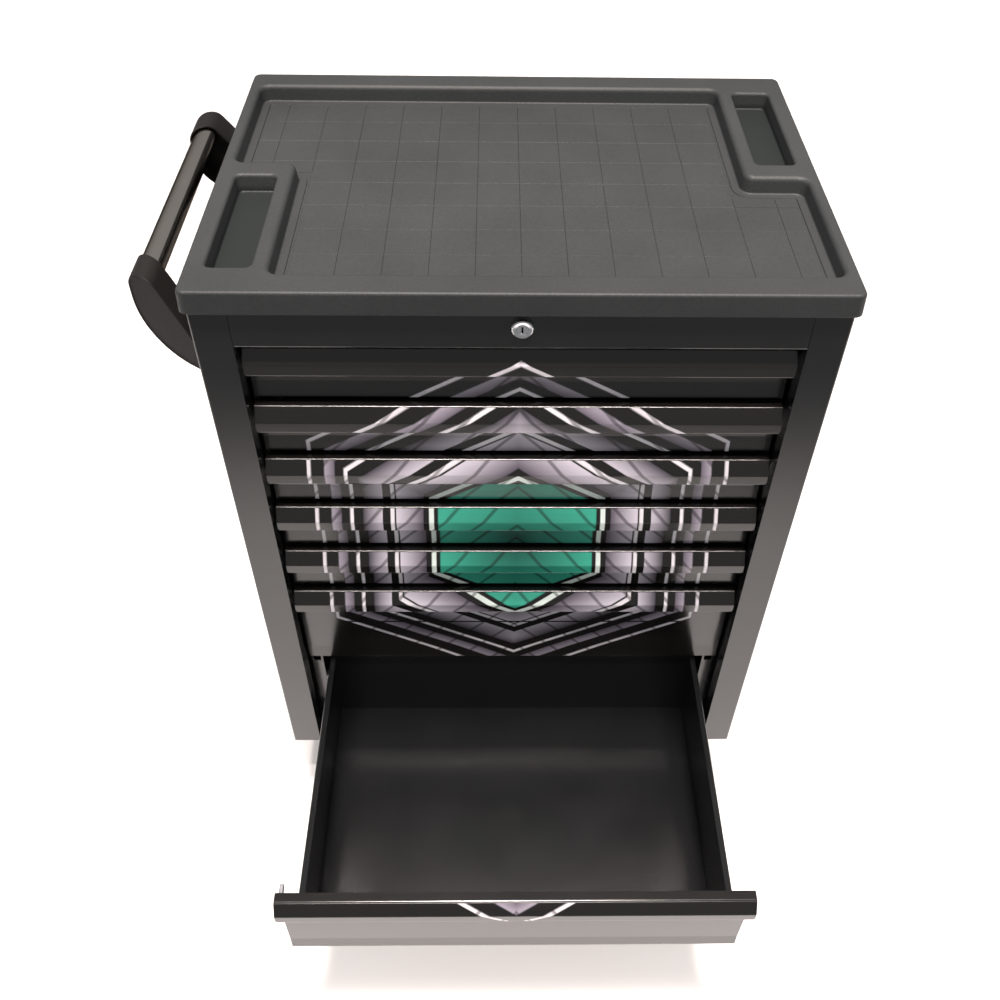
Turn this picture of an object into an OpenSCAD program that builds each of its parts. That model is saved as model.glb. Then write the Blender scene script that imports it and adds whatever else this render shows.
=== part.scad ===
// Rolling tool cabinet: a folded steel body on four casters, seven drawers on telescopic
// slides, a moulded top tray and a push handle on its left side.
// X runs to the right, Y to the back and Z up, in millimetres. The floor is Z = 0, and the
// middle of the body is X = 0, Y = 0. The lowest drawer is drawn pulled out.

/* [Body] */
// Width across the side panels
body_w = 680; // [640:5:760]
// Depth from the front posts to the rear flanges
body_d = 464; // [456:2:520]
// Thickness of the body's steel sheet
sheet = 1.2; // [0.8:0.1:2]
// Width of each front post
post_w = 40.4; // [34:0.2:48]
// Depth of the fold behind the inner edge of a post
post_return = 24; // [12:1:28]
// Width of the flange along the top of a side, which carries the tray
top_flange = 26; // [16:1:36]
// Width of the flange along the back of a side
rear_flange = 20; // [12:1:30]
// Height of the base pan's front edge, below the lowest drawer
base_h = 14.4; // [10:0.1:40]
// Thickness of the base pan
pan_t = 1.5; // [1:0.1:3]
// Height of the lock fascia
fascia_h = 53; // [44:1:58]
// Depth of the fascia's folded edges
fascia_fold = 14; // [6:1:20]
// Height from the fascia down to the first pull
fascia_gap = 12.6; // [6:0.2:30]
// Gap between neighbouring fixed panels
panel_gap = 0.5; // [0.3:0.1:0.8]
// Radial gap of a round piece in the hole that holds it
fit_gap = 0.1; // [0.05:0.01:0.2]

/* [Slide uprights] */
// Distance from a post's inner edge to the slide's mounting face
upright_inset = 18.9; // [16:0.1:24]
// Width of an upright from front to back
upright_d = 40; // [30:1:60]
// Distance from the back of a drawer front to the front uprights
upright_gap = 5.8; // [4:0.1:10]
// Distance that the slides run past the rear uprights
slide_overrun = 6; // [0:0.5:20]
// Gap round a latch tongue in its hole through the upright
slot_edge = 1; // [0.5:0.1:1.6]

/* [Drawers] */
// Spacing of the five shallow drawers
pitch_shallow = 84.2; // [78:0.2:110]
// Spacing of the two deep drawers
pitch_deep = 171; // [140:1:220]
// Gap between a drawer front and the pull below it
front_gap = 3.5; // [2.5:0.1:6]
// Gap between the end of a drawer front and the post beside it
front_side_gap = 3.1; // [2:0.1:5]
// Thickness of a drawer's sheet
drawer_sheet = 1.2; // [0.8:0.1:1.6]
// Depth of a drawer behind its front panel
drawer_d = 350; // [320:2:354]
// Width of the flange folded in along the top of a drawer's walls
drawer_flange = 8; // [4:0.5:14]
// Height of the underside of a drawer above the lower edge of its front
drawer_lift = 15; // [10:0.5:20]
// Height of the strip that flares out along the bottom of a front
flare_h = 24; // [8:0.5:30]
// Distance that the strip flares out
flare_out = 1.5; // [1:0.1:5]
// Distance that the lowest drawer is drawn out
open_by = 343; // [0:1:345]

/* [Drawer pulls] */
// Distance from the front of the posts to the top edge of a pull
pull_setback = 17.5; // [16:0.1:21]
// Thickness of a pull's strip
pull_sheet = 1.5; // [1:0.1:2]
// Depth of a pull's flat top
pull_top_d = 12.7; // [9:0.1:14]
// Height of the sloping face
pull_slope_h = 17.3; // [12:0.1:22]
// Distance that the face slopes forward
pull_slope_out = 10.5; // [6:0.1:13]
// Height of the lip below the face
pull_lip_h = 15.7; // [10:0.1:20]

/* [Drawer latches] */
// Thickness of a latch plate
latch_t = 5; // [3:0.1:6]
// Sideways travel of a latch
latch_travel = 4; // [2:0.1:4.5]
// Height of the tongue that goes through the drawer front
latch_h = 10; // [8:0.2:12]
// Distance from the top of a pull to the top of the tongue
latch_drop = 8; // [6:0.2:11]
// Length of the tongue behind the drawer front
latch_tongue = 15; // [10:0.5:20]
// Length of the thumb tab in front of it
latch_thumb = 9; // [6:0.5:11]
// Height of the thumb tab below the tongue
latch_thumb_drop = 14; // [8:0.5:18]
// Gap round the tongue in the slot that guides it
latch_gap = 0.4; // [0.3:0.1:0.8]

/* [Slides] */
// Width of a slide from its mounting face to the drawer
slide_w = 12.7; // [11.5:0.1:14]
// Height of a slide
slide_h = 36; // [30:1:44]
// Thickness of the slide's steel
slide_sheet = 1.2; // [1:0.1:1.5]
// Running gap between nested members
slide_gap = 0.4; // [0.3:0.05:0.6]
// Gap between the edges of the outer members and the drawer
slide_edge_gap = 1.5; // [1:0.1:2.5]
// Length of a slide
slide_l = 350; // [330:2:354]
// Distance from the ends of a slide to its middle member
middle_inset = 4; // [2:0.5:8]
// Distance from the top of a shallow drawer's pull to the middle of its slide
slide_drop_shallow = 36; // [32:0.5:40]
// Distance from the top of a deep drawer's pull to the middle of its slide
slide_drop_deep = 80; // [50:1:110]

/* [Top tray] */
// Distance that the tray stands out past the sides of the body
tray_side_over = 5; // [4.5:0.5:15]
// Distance that the tray stands out past the front and back of the body
tray_end_over = 10; // [5:0.5:20]
// Height of the tray
tray_h = 27; // [24:0.5:40]
// Distance that the tray's skirt hangs over the body
tray_lap = 3; // [1:0.5:6]
// Wall thickness of the moulding
tray_wall = 3; // [2:0.1:4]
// Radius of the tray's corners
tray_corner_r = 10; // [6:0.5:20]
// Width of the left and right rims
tray_side_rim = 15; // [12:0.5:24]
// Width of the front and back rims
tray_end_rim = 36; // [24:0.5:44]
// Width of the raised block round a pocket
pocket_block_w = 72; // [60:1:100]
// Length of the raised block round a pocket
pocket_block_l = 221; // [200:1:300]
// Width of a pocket
pocket_w = 47; // [30:1:50]
// Length of a pocket
pocket_l = 180; // [150:1:190]
// Distance from the recess edge to a pocket's outer side
pocket_edge = 7; // [4:0.5:9]
// Distance from the recess edge to a pocket's end
pocket_end = 10; // [6:0.5:14]

/* [Push handle] */
// Distance from the side panel to the tube's axis
handle_reach = 57; // [50:0.5:90]
// Distance of the tube's axis below the top of the body
handle_drop = 17; // [10:0.5:60]
// Spacing of the two brackets at the tube
handle_spacing = 323; // [240:1:360]
// Diameter of the tube
tube_d = 27; // [22:0.5:29]
// Thickness of a bracket along the tube
bracket_t = 40; // [36:1:50]
// Angle at which the brackets spread towards the body
bracket_splay = 26; // [0:1:30]
// Wall of the bracket's socket round the tube
socket_wall = 3.5; // [2.5:0.1:6]
// Depth of the socket
socket_depth = 24; // [15:1:26]
// Straight length of the arm below the tube's axis
arm_drop = 16; // [8:0.5:30]
// Height of the bracket's foot on the side panel
foot_h = 42; // [30:1:60]
// Thickness of the foot
foot_t = 9; // [5:0.5:12]
// Wall thickness of the tube
tube_wall = 2; // [1:0.1:4]

/* [Lock] */
// Distance of the lock's axis below the top of the body
lock_drop = 23.6; // [18:0.2:30]
// Diameter of the housing's face
lock_face_d = 23.6; // [20:0.2:28]
// Distance that the face stands out of the fascia
lock_face_t = 6; // [3:0.2:8]
// Diameter of the housing's barrel
lock_barrel_d = 18.8; // [16:0.2:19.4]
// Length of the barrel behind the fascia
lock_barrel_l = 26; // [16:0.5:34]
// Diameter of the plug
plug_d = 12; // [10:0.1:13]
// Distance of the plug's face behind the housing's face
plug_recess = 0.5; // [0.3:0.1:1]
// Length of the plug behind the barrel
plug_tail = 2; // [1:0.5:6]
// Width of the key slot
key_w = 2; // [1.5:0.1:3]
// Height of the key slot
key_h = 8; // [6:0.1:9]
// Depth of the key slot
key_deep = 3; // [2:0.5:8]
// Radial running gap of the plug
plug_gap = 0.05; // [0.03:0.01:0.1]
// Diameter of the lock rod
rod_d = 8; // [6:0.1:9]
// Wall of the crank's boss round the rod
crank_wall = 3; // [2:0.1:5]
// Radius of the crank at the end of the rod
crank_r = 12; // [10:0.5:13]
// Thickness of the crank
crank_t = 3; // [2:0.1:5]
// Gap between the crank and the lock bar
crank_gap = 2; // [1:0.1:3]
// Diameter of the crank pin
crank_pin_d = 4; // [3:0.1:5]
// Gap above and below the crank pin in the lock bar's slot
pin_play = 3.5; // [3:0.1:5]
// Gap at the ends of the lock bar's slot
pin_gap = 1; // [0.5:0.1:2]
// Width of the lock bar
bar_w = 26; // [24:0.5:32]
// Thickness of the lock bar
bar_t = 2; // [1.5:0.1:3]
// Running gap round the lock bar
bar_gap = 0.3; // [0.2:0.05:0.5]
// Height of a guide for the lock bar
guide_h = 14; // [8:0.5:20]
// Wall of a guide for the lock bar
guide_wall = 6; // [3:0.5:10]
// Width of a hook on the lock bar
hook_w = 13; // [8:0.5:20]
// Length of a hook on the lock bar
hook_l = 14; // [8:0.5:18]
// Distance from the back of the closed drawers to the column that carries the lock bar
column_gap = 24.4; // [22:0.2:40]
// Width of the column
column_w = 60; // [50:1:80]

/* [Casters] */
// Height from the floor to the body
caster_h = 130; // [125:1:150]
// Diameter of a wheel
wheel_d = 100; // [80:1:104]
// Width of a wheel
wheel_w = 30; // [24:0.5:34]
// Distance from a side of the body to a caster's middle
caster_inset_x = 78; // [60:1:110]
// Distance from the front or back of the body to a caster's middle
caster_inset_y = 57; // [45:1:90]
// Length of a caster's top plate
plate_l = 96; // [90:1:104]
// Width of a caster's top plate
plate_w = 76; // [70:1:84]
// Thickness of a caster's top plate
plate_t = 3; // [2:0.1:4]
// Diameter of an axle
axle_d = 10; // [8:0.1:12]
// Wall of a wheel's hub round its axle
hub_wall = 8; // [5:0.5:12]
// Height of the tyre
tyre_h = 13; // [8:0.5:16]
// Step between a wheel's rim and its disc
rim_step = 3; // [2:0.5:5]
// Width of the bevel at each edge of the tread
tread_edge = 5; // [2:0.5:8]
// Diameter of an axle bolt's head
bolt_head_d = 18; // [15:0.5:24]
// Thickness of an axle bolt's head
bolt_head_t = 6; // [4:0.5:8]
// Radial running gap of a wheel on its axle
axle_gap = 0.05; // [0.03:0.01:0.1]
// Thickness of a fork's legs
fork_t = 3; // [2:0.1:4]
// Gap between a wheel and the fork's legs
fork_gap = 2; // [1:0.1:3]
// Width of a fixed bracket's leg at the top plate
bracket_leg_w = 60; // [40:1:80]
// Width of a swivel fork's leg at the crown
fork_leg_w = 36; // [24:1:44]
// Distance from the swivel axis to the wheel's axle
caster_trail = 35; // [25:0.5:40]
// Diameter of the swivel bearing
swivel_d = 56; // [50:0.5:60]
// Gap in the swivel bearing
swivel_gap = 0.3; // [0.3:0.05:0.5]
// Diameter of the kingpin
kingpin_d = 12; // [10:0.1:14]
// Diameter of the kingpin's head
kingpin_head_d = 18; // [16:0.5:24]
// Thickness of the kingpin's head
kingpin_head_t = 4; // [3:0.1:4.5]
// Distance from a wheel's tyre to the crown of its fork
crown_gap = 7; // [5:0.5:10]
// Thickness of a fork's crown
crown_t = 4; // [3:0.1:6]
// Height of a fork's legs where they turn down from the crown
leg_turn = 4; // [2:0.5:8]
// Distance from a wheel's tyre to its brake pedal's shaft
pedal_gap = 7; // [6:0.5:10]
// Gap between a brake pedal and the fork's legs
pedal_side_gap = 1; // [0.5:0.1:2]
// Diameter of a brake pedal's shaft
pedal_shaft_d = 8; // [6:0.1:9]
// Length of a brake pedal beyond its shaft
pedal_l = 32; // [20:1:40]
// Thickness of a brake pedal
pedal_t = 4; // [3:0.1:6]

/* [Hidden] */
DRAWERS = [for (i = [1 : 7]) i];
SHALLOW = 5;
PER_DRAWER = ["drawer", "drawer_pull", "drawer_runners", "slide_middles", "drawer_latch"];
FIXED = [
    "side_left", "side_right", "back_panel", "base_pan", "top_tray", "lock_fascia", "slide_outers",
    "handle_brackets", "handle_tube", "lock_housing", "lock_plug", "lock_bar",
    "fixed_caster_brackets", "fixed_axles", "swivel_plates",
    "swivel_fork_front", "swivel_fork_rear", "swivel_axle_front", "swivel_axle_rear",
    "brake_pedal_front", "brake_pedal_rear",
    "wheel_left_front", "wheel_left_rear", "wheel_right_front", "wheel_right_rear",
];

$fn = 64;
cut = 1;

black = "#1f1d1c";
dark_grey = "#4f4d4a";
zinc = "#b9bcc0";
chrome = "#d8dadd";
rubber = "#3a3a3c";

half_w = body_w / 2;
half_d = body_d / 2;
front = -half_d;
body_bottom = caster_h;
first_drop = fascia_h + fascia_gap;
body_top = caster_h + base_h + 2 * pitch_deep + SHALLOW * pitch_shallow + first_drop;
post_inner = half_w - post_w;
slide_face = post_inner - upright_inset;
drawer_half = slide_face - slide_w;
front_half = post_inner - front_side_gap;
back_inner = half_d - 2 * sheet;

pull_y = front + pull_setback;
panel_y = pull_y + pull_top_d - drawer_sheet;
panel_back = panel_y + drawer_sheet;
drawer_back = panel_back + drawer_d;
upright_y = panel_back + upright_gap;
rear_upright_y = upright_y + slide_l - upright_d - slide_overrun;
latch_x = -(post_inner + slide_face) / 2 - slot_edge;

function pitch(i) = i <= SHALLOW ? pitch_shallow : pitch_deep;
function pull_z(i) =
    body_top - first_drop - min(i - 1, SHALLOW) * pitch_shallow - max(i - 1 - SHALLOW, 0) * pitch_deep;
function front_h(i) = pitch(i) - front_gap;
function slide_z(i) = pull_z(i) - (i <= SHALLOW ? slide_drop_shallow : slide_drop_deep);
function out_by(i) = i == len(DRAWERS) ? open_by : 0;

// Box between two opposite corners
module block(low, high) {
    translate(low) cube(high - low);
}

// Outline in the Y-Z plane, drawn out along X about the middle
module along_x(length) {
    rotate([90, 0, 90]) translate([0, 0, -length / 2]) linear_extrude(length) children();
}

// Rod along Y from one place to another
module rod_y(x, z, from_y, to_y, d) {
    translate([x, from_y, z]) rotate([-90, 0, 0]) cylinder(d = d, h = to_y - from_y);
}

// Left and right copies of a shape drawn on the right
module both_sides() {
    children();
    mirror([1, 0, 0]) children();
}

// Body

// Hat-shaped upright that carries the slides, welded to the skin
module upright(y) {
    low = body_bottom + pan_t;
    high = body_top - sheet;
    skin = half_w - sheet / 2;
    block([slide_face, y, low], [skin, y + sheet, high]);
    block([slide_face, y, low], [slide_face + sheet, y + upright_d, high]);
    block([slide_face, y + upright_d - sheet, low], [skin, y + upright_d, high]);
}

// Holes in the front upright that the latch tongues reach into
module latch_slots() {
    for (i = DRAWERS)
        block(
            [-latch_x - latch_t / 2 - latch_travel - slot_edge, upright_y - cut,
                pull_z(i) - latch_drop - latch_h - slot_edge],
            [-latch_x + latch_t / 2 + slot_edge, upright_y + sheet + cut, pull_z(i) - latch_drop + slot_edge]
        );
}

module right_side() {
    difference() {
        union() {
            block([half_w - sheet, front, body_bottom], [half_w, half_d, body_top]);
            block([post_inner, front, body_bottom], [half_w, front + sheet, body_top]);
            block(
                [post_inner, front, body_bottom + pan_t],
                [post_inner + sheet, front + post_return, body_top]
            );
            block([half_w - rear_flange, half_d - sheet, body_bottom], [half_w, half_d, body_top]);
            block([half_w - top_flange, front, body_top - sheet], [half_w, half_d, body_top]);
            upright(upright_y);
            upright(rear_upright_y);
        }
        latch_slots();
    }
}

module side_left() {
    color(black) mirror([1, 0, 0]) right_side();
}

module side_right() {
    color(black) right_side();
}

column_face = drawer_back + column_gap;
bar_x = crank_r / 2;
bar_back = column_face - bar_gap;
bar_front = bar_back - bar_t;
lock_z = body_top - lock_drop;
low_guide_z = slide_z(len(DRAWERS)) - crank_r - guide_wall - guide_h;
bar_low = low_guide_z - crank_r - guide_wall;

// Staple on the column, in which the lock bar slides
module bar_guide(z) {
    reach = bar_t + 2 * bar_gap + guide_wall;
    difference() {
        block(
            [bar_x - bar_w / 2 - guide_wall, column_face - reach, z],
            [bar_x + bar_w / 2 + guide_wall, column_face + sheet, z + guide_h]
        );
        block(
            [bar_x - bar_w / 2 - bar_gap, column_face - bar_t - 2 * bar_gap, z - cut],
            [bar_x + bar_w / 2 + bar_gap, column_face, z + guide_h + cut]
        );
    }
}

// Rear panel with the folded column that carries the lock bar
module back_panel() {
    edge = half_w - sheet;
    column_low = body_bottom + pan_t + panel_gap;
    column_high = body_top - 2 * sheet;
    color(black) {
        block([-edge, back_inner, body_bottom], [edge, half_d - sheet, body_top - sheet]);
        block(
            [-half_w + top_flange + panel_gap, back_inner - rear_flange, body_top - sheet],
            [half_w - top_flange - panel_gap, half_d - sheet, body_top]
        );
        for (side = [-1, 1])
            block(
                [side * column_w / 2 - sheet / 2, column_face, column_low],
                [side * column_w / 2 + sheet / 2, half_d - 1.5 * sheet, column_high]
            );
        block([-column_w / 2, column_face, column_low], [column_w / 2, column_face + sheet, column_high]);
        bar_guide(low_guide_z);
        bar_guide(pull_z(1) - guide_h);
    }
}

module base_pan() {
    edge = half_w - sheet;
    rail = post_inner - panel_gap;
    color(black) {
        block([-edge, front + sheet, body_bottom], [edge, back_inner, body_bottom + pan_t]);
        block([-rail, front, body_bottom], [rail, front + sheet, body_bottom + base_h]);
        block([-rail, front, body_bottom], [rail, front + 2 * sheet, body_bottom + pan_t]);
    }
}

module lock_fascia() {
    edge = post_inner - panel_gap;
    low = body_top - fascia_h;
    color(black) difference() {
        union() {
            block([-edge, front, low], [edge, front + sheet, body_top]);
            block([-edge, front, low], [edge, front + fascia_fold, low + sheet]);
            block([-edge, front, body_top - sheet], [edge, front + fascia_fold, body_top]);
        }
        rod_y(0, lock_z, front - cut, front + sheet + cut, lock_barrel_d + 2 * fit_gap);
    }
}

// Top tray

// Rectangle with round corners
module round_rectangle(w, d, r) {
    square([w - 2 * r, d], center = true);
    square([w, d - 2 * r], center = true);
    for (x = [-1, 1], y = [-1, 1]) translate([x * (w / 2 - r), y * (d / 2 - r)]) circle(r);
}

tray_w = body_w + 2 * tray_side_over;
tray_d = body_d + 2 * tray_end_over;
recess_w = tray_w - 2 * tray_side_rim;
recess_d = tray_d - 2 * tray_end_rim;

// Turned copies of a shape drawn at the back right corner of the recess
module opposite_corners() {
    for (turn = [0, 180]) rotate(turn) children();
}

// Outline of the recess, grown by a margin on every side
module recess_outline(margin = 0) {
    difference() {
        square([recess_w + 2 * margin, recess_d + 2 * margin], center = true);
        opposite_corners()
            translate([recess_w / 2 - pocket_block_w + margin, recess_d / 2 - pocket_block_l + margin])
                square([pocket_block_w + cut, pocket_block_l + cut]);
    }
}

// Outline of the two pockets, grown by a margin on every side
module pocket_outline(margin = 0) {
    opposite_corners()
        translate([recess_w / 2 - pocket_edge - pocket_w / 2, recess_d / 2 - pocket_end - pocket_l / 2])
            square([pocket_w + 2 * margin, pocket_l + 2 * margin], center = true);
}

tray_top = body_top - tray_lap + tray_h;
tray_floor = body_top + tray_wall;

module top_tray() {
    skirt = body_top - tray_lap;
    color(dark_grey) difference() {
        translate([0, 0, skirt]) linear_extrude(tray_h) round_rectangle(tray_w, tray_d, tray_corner_r);
        difference() {
            translate([0, 0, skirt - cut])
                linear_extrude(tray_h - tray_wall + cut)
                    round_rectangle(
                        tray_w - 2 * tray_wall, tray_d - 2 * tray_wall, tray_corner_r - tray_wall
                    );
            translate([0, 0, body_top]) linear_extrude(tray_h) recess_outline(tray_wall);
            translate([0, 0, body_top]) linear_extrude(tray_h) pocket_outline(tray_wall);
        }
        translate([0, 0, tray_floor]) linear_extrude(tray_h) recess_outline();
        translate([0, 0, tray_floor]) linear_extrude(tray_h) pocket_outline();
    }
}

// Slides

// Channel with its web at one X and its flanges reaching towards another, drawn along Y
module channel(web_x, tip_x, half_h, from_y, to_y) {
    inwards = tip_x < web_x;
    web_low = inwards ? web_x - slide_sheet : web_x;
    low = min(web_x, tip_x);
    high = max(web_x, tip_x);
    block([web_low, from_y, -half_h], [web_low + slide_sheet, to_y, half_h]);
    block([low, from_y, half_h - slide_sheet], [high, to_y, half_h]);
    block([low, from_y, -half_h], [high, to_y, -half_h + slide_sheet]);
}

nest = slide_sheet + slide_gap;
slide_front = upright_y + slide_gap;
slide_tip = drawer_half + slide_edge_gap;
runner_front = panel_back + slide_gap;

module slide_outers() {
    color(zinc) for (i = DRAWERS)
        translate([0, 0, slide_z(i)])
            both_sides() channel(slide_face, slide_tip, slide_h / 2, slide_front, slide_front + slide_l);
}

module slide_middles(i) {
    color(zinc) translate([0, -out_by(i) / 2, slide_z(i)])
        both_sides()
            channel(
                slide_face - nest, slide_tip, slide_h / 2 - nest,
                slide_front + middle_inset, slide_front + slide_l - middle_inset
            );
}

module drawer_runners(i) {
    color(zinc) translate([0, -out_by(i), slide_z(i)])
        both_sides()
            channel(
                drawer_half, slide_face - 2 * nest, slide_h / 2 - 2 * nest,
                runner_front, drawer_back
            );
}

// Drawers

// Section through a front panel: flat sheet with a hemmed strip that flares out at the bottom
module front_section(h) {
    polygon([
        [panel_y, -pull_sheet],
        [panel_y, -h + flare_h],
        [panel_y - flare_out, -h],
        [panel_back, -h],
        [panel_back, -pull_sheet],
    ]);
}

// Folded box behind a front panel, with its walls let into the panel
module drawer_box(low, high) {
    inner = drawer_half - drawer_sheet;
    box_front = panel_back - drawer_sheet / 2;
    block([-drawer_half, box_front, low], [drawer_half, drawer_back, low + drawer_sheet]);
    block([-drawer_half, drawer_back - drawer_sheet, low], [drawer_half, drawer_back, high]);
    both_sides() {
        block([inner, box_front, low], [drawer_half, drawer_back, high]);
        block(
            [drawer_half - drawer_flange, box_front, high - drawer_sheet],
            [drawer_half, drawer_back, high]
        );
    }
}

module drawer(i) {
    h = front_h(i);
    tongue_top = -latch_drop + latch_gap;
    color(black) translate([0, -out_by(i), pull_z(i)])
        difference() {
            union() {
                along_x(2 * front_half) front_section(h);
                drawer_box(-h + drawer_lift, -pull_sheet - drawer_sheet);
            }
            block(
                [latch_x - latch_t / 2 - latch_gap, panel_y - cut, tongue_top - latch_h - 2 * latch_gap],
                [latch_x + latch_t / 2 + latch_travel + latch_gap, panel_back + cut, tongue_top]
            );
        }
}

// Section through a pull: flat top, face that slopes forward and lip below it
module pull_section() {
    lean = pull_sheet * pull_slope_out / pull_slope_h;
    fold_y = pull_y - pull_slope_out;
    fold_z = -pull_slope_h;
    low = fold_z - pull_lip_h;
    polygon([
        [pull_y + pull_top_d, 0],
        [pull_y, 0],
        [fold_y, fold_z],
        [fold_y, low],
        [fold_y + pull_sheet, low],
        [fold_y + pull_sheet, fold_z - lean / 2],
        [pull_y + pull_sheet - lean / 2, -pull_sheet],
        [pull_y + pull_top_d, -pull_sheet],
    ]);
}

module drawer_pull(i) {
    color(black) translate([0, -out_by(i), pull_z(i)]) along_x(2 * front_half) pull_section();
}

// Latch plate: tongue behind the drawer front and thumb tab in the finger gap
module drawer_latch(i) {
    top = -latch_drop;
    tip = latch_h / 3;
    color(zinc) translate([latch_x, -out_by(i), pull_z(i)])
        along_x(latch_t)
            polygon([
                [panel_back + latch_tongue, top],
                [panel_y - latch_thumb, top],
                [panel_y - latch_thumb, top - latch_h - latch_thumb_drop],
                [panel_y - latch_thumb / 2, top - latch_h - latch_thumb_drop],
                [panel_y - latch_thumb / 2, top - latch_h],
                [panel_back + latch_tongue - tip, top - latch_h],
                [panel_back + latch_tongue, top - latch_h + tip],
            ]);
}

// Push handle

handle_x = -half_w - handle_reach;
handle_z = body_top - handle_drop;
socket_r = tube_d / 2 + fit_gap + socket_wall;

arm_r = handle_reach + socket_r;
bend_z = handle_z - arm_drop;
foot_low = bend_z - arm_r;
foot_high = foot_low + foot_h;

// Outline of a bracket in X and Z: round socket and an arm that curves down to the foot
module bracket_outline() {
    foot_x = -half_w - foot_t;
    outer_x = handle_x - socket_r;
    span = norm([foot_x - handle_x, foot_high - handle_z]);
    to_foot = atan2(foot_high - handle_z, foot_x - handle_x);
    touch = to_foot + acos(socket_r / span);
    edge_r = socket_r - fit_gap;
    translate([handle_x, handle_z]) circle(socket_r);
    intersection() {
        union() {
            translate([-half_w, bend_z]) circle(arm_r);
            translate([outer_x, bend_z]) square([arm_r, arm_drop]);
        }
        polygon([
            [outer_x - cut, handle_z],
            [handle_x, handle_z],
            [handle_x + edge_r * cos(touch), handle_z + edge_r * sin(touch)],
            [foot_x, foot_high],
            [-half_w, foot_high],
            [-half_w, foot_low - cut],
            [outer_x - cut, foot_low - cut],
        ]);
    }
}

// Curved bracket, drawn about its middle at the tube with the tube towards +Y
module handle_bracket() {
    half = bracket_t / 2;
    spread = tan(bracket_splay);
    reach = half + arm_r;
    out = spread * socket_r;
    in = spread * handle_reach;
    difference() {
        intersection() {
            translate([0, reach, 0]) rotate([90, 0, 0]) linear_extrude(2 * reach) bracket_outline();
            translate([0, 0, foot_low - cut])
                linear_extrude(arm_r + arm_drop + socket_r + 2 * cut)
                    polygon([
                        [handle_x - socket_r, -half + out],
                        [-half_w, -half - in],
                        [-half_w, half - in],
                        [handle_x - socket_r, half + out],
                    ]);
        }
        rod_y(handle_x, handle_z, half - socket_depth, reach, tube_d + 2 * fit_gap);
    }
}

module handle_brackets() {
    color(dark_grey) {
        translate([0, -handle_spacing / 2, 0]) handle_bracket();
        translate([0, handle_spacing / 2, 0]) mirror([0, 1, 0]) handle_bracket();
    }
}

module handle_tube() {
    end = handle_spacing / 2 - bracket_t / 2 + socket_depth;
    color(dark_grey) difference() {
        rod_y(handle_x, handle_z, -end, end, tube_d);
        rod_y(handle_x, handle_z, -end - cut, end + cut, tube_d - 2 * tube_wall);
    }
}

// Lock

crank_back = bar_front - crank_gap;
slot_h = crank_pin_d + 2 * pin_play;

module lock_housing() {
    color(chrome) difference() {
        union() {
            rod_y(0, lock_z, front - lock_face_t, front, lock_face_d);
            rod_y(0, lock_z, front - cut, front + lock_barrel_l, lock_barrel_d);
        }
        rod_y(0, lock_z, front - lock_face_t - cut, front + lock_barrel_l + cut, plug_d + 2 * plug_gap);
    }
}

// Plug with its key slot, the rod to the back and the crank that moves the lock bar
module lock_plug() {
    face = front - lock_face_t + plug_recess;
    color(chrome) difference() {
        union() {
            rod_y(0, lock_z, face, front + lock_barrel_l + plug_tail, plug_d);
            rod_y(0, lock_z, front, crank_back, rod_d);
            rod_y(0, lock_z, crank_back - crank_t, crank_back, rod_d + 2 * crank_wall);
            block(
                [0, crank_back - crank_t, lock_z - crank_pin_d],
                [crank_r + crank_pin_d, crank_back, lock_z + crank_pin_d]
            );
            rod_y(crank_r, lock_z, crank_back - crank_t, bar_back - bar_t / 2, crank_pin_d);
        }
        block([-key_w / 2, face - cut, lock_z - key_h / 2], [key_w / 2, face + key_deep, lock_z + key_h / 2]);
    }
}

// Flat bar with a slot for the crank pin and one hook for each drawer
module lock_bar() {
    high = lock_z + slot_h;
    slot_half = crank_r / 2 + crank_pin_d / 2 + pin_gap;
    color(zinc) difference() {
        union() {
            block([bar_x - bar_w / 2, bar_front, bar_low], [bar_x + bar_w / 2, bar_back, high]);
            for (i = DRAWERS)
                block(
                    [bar_x - hook_w / 2, bar_front - hook_l, slide_z(i)],
                    [bar_x + hook_w / 2, bar_back, slide_z(i) + bar_t]
                );
        }
        block(
            [bar_x - slot_half, bar_front - cut, lock_z - slot_h / 2],
            [bar_x + slot_half, bar_back + cut, lock_z + slot_h / 2]
        );
    }
}

// Casters

caster_x = half_w - caster_inset_x;
caster_y = half_d - caster_inset_y;
axle_z = wheel_d / 2;
leg_in = wheel_w / 2 + fork_gap;
leg_out = leg_in + fork_t;
crown_low = wheel_d + crown_gap;
crown_high = crown_low + crown_t;
hub_r = axle_d / 2 + hub_wall;
plate_low = body_bottom - plate_t;
wheel_x = -caster_x + caster_trail;
pedal_reach = (wheel_d / 2 + pedal_gap) / sqrt(2);
pedal_x = wheel_x + pedal_reach;
pedal_z = axle_z + pedal_reach;

// Wheel with its bore, drawn about its own axle, which runs along Y
module wheel() {
    r = wheel_d / 2;
    half = wheel_w / 2;
    bore = axle_d / 2 + axle_gap;
    dish = half - rim_step;
    rim_r = r - tyre_h;
    color(rubber) rotate([90, 0, 0]) rotate_extrude()
        polygon([
            [bore, -half - fork_gap / 2],
            [hub_r, -half - fork_gap / 2],
            [hub_r, -dish],
            [rim_r - rim_step, -dish],
            [rim_r, -half],
            [r - rim_step, -half],
            [r, -half + tread_edge],
            [r, half - tread_edge],
            [r - rim_step, half],
            [rim_r, half],
            [rim_r - rim_step, dish],
            [hub_r, dish],
            [hub_r, half + fork_gap / 2],
            [bore, half + fork_gap / 2],
        ]);
}

// Legs on both sides of a wheel, from one outline in X and Z
module legs() {
    for (y = [-leg_out, leg_in])
        translate([0, y + fork_t, 0]) rotate([90, 0, 0]) linear_extrude(fork_t) children();
}

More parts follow.
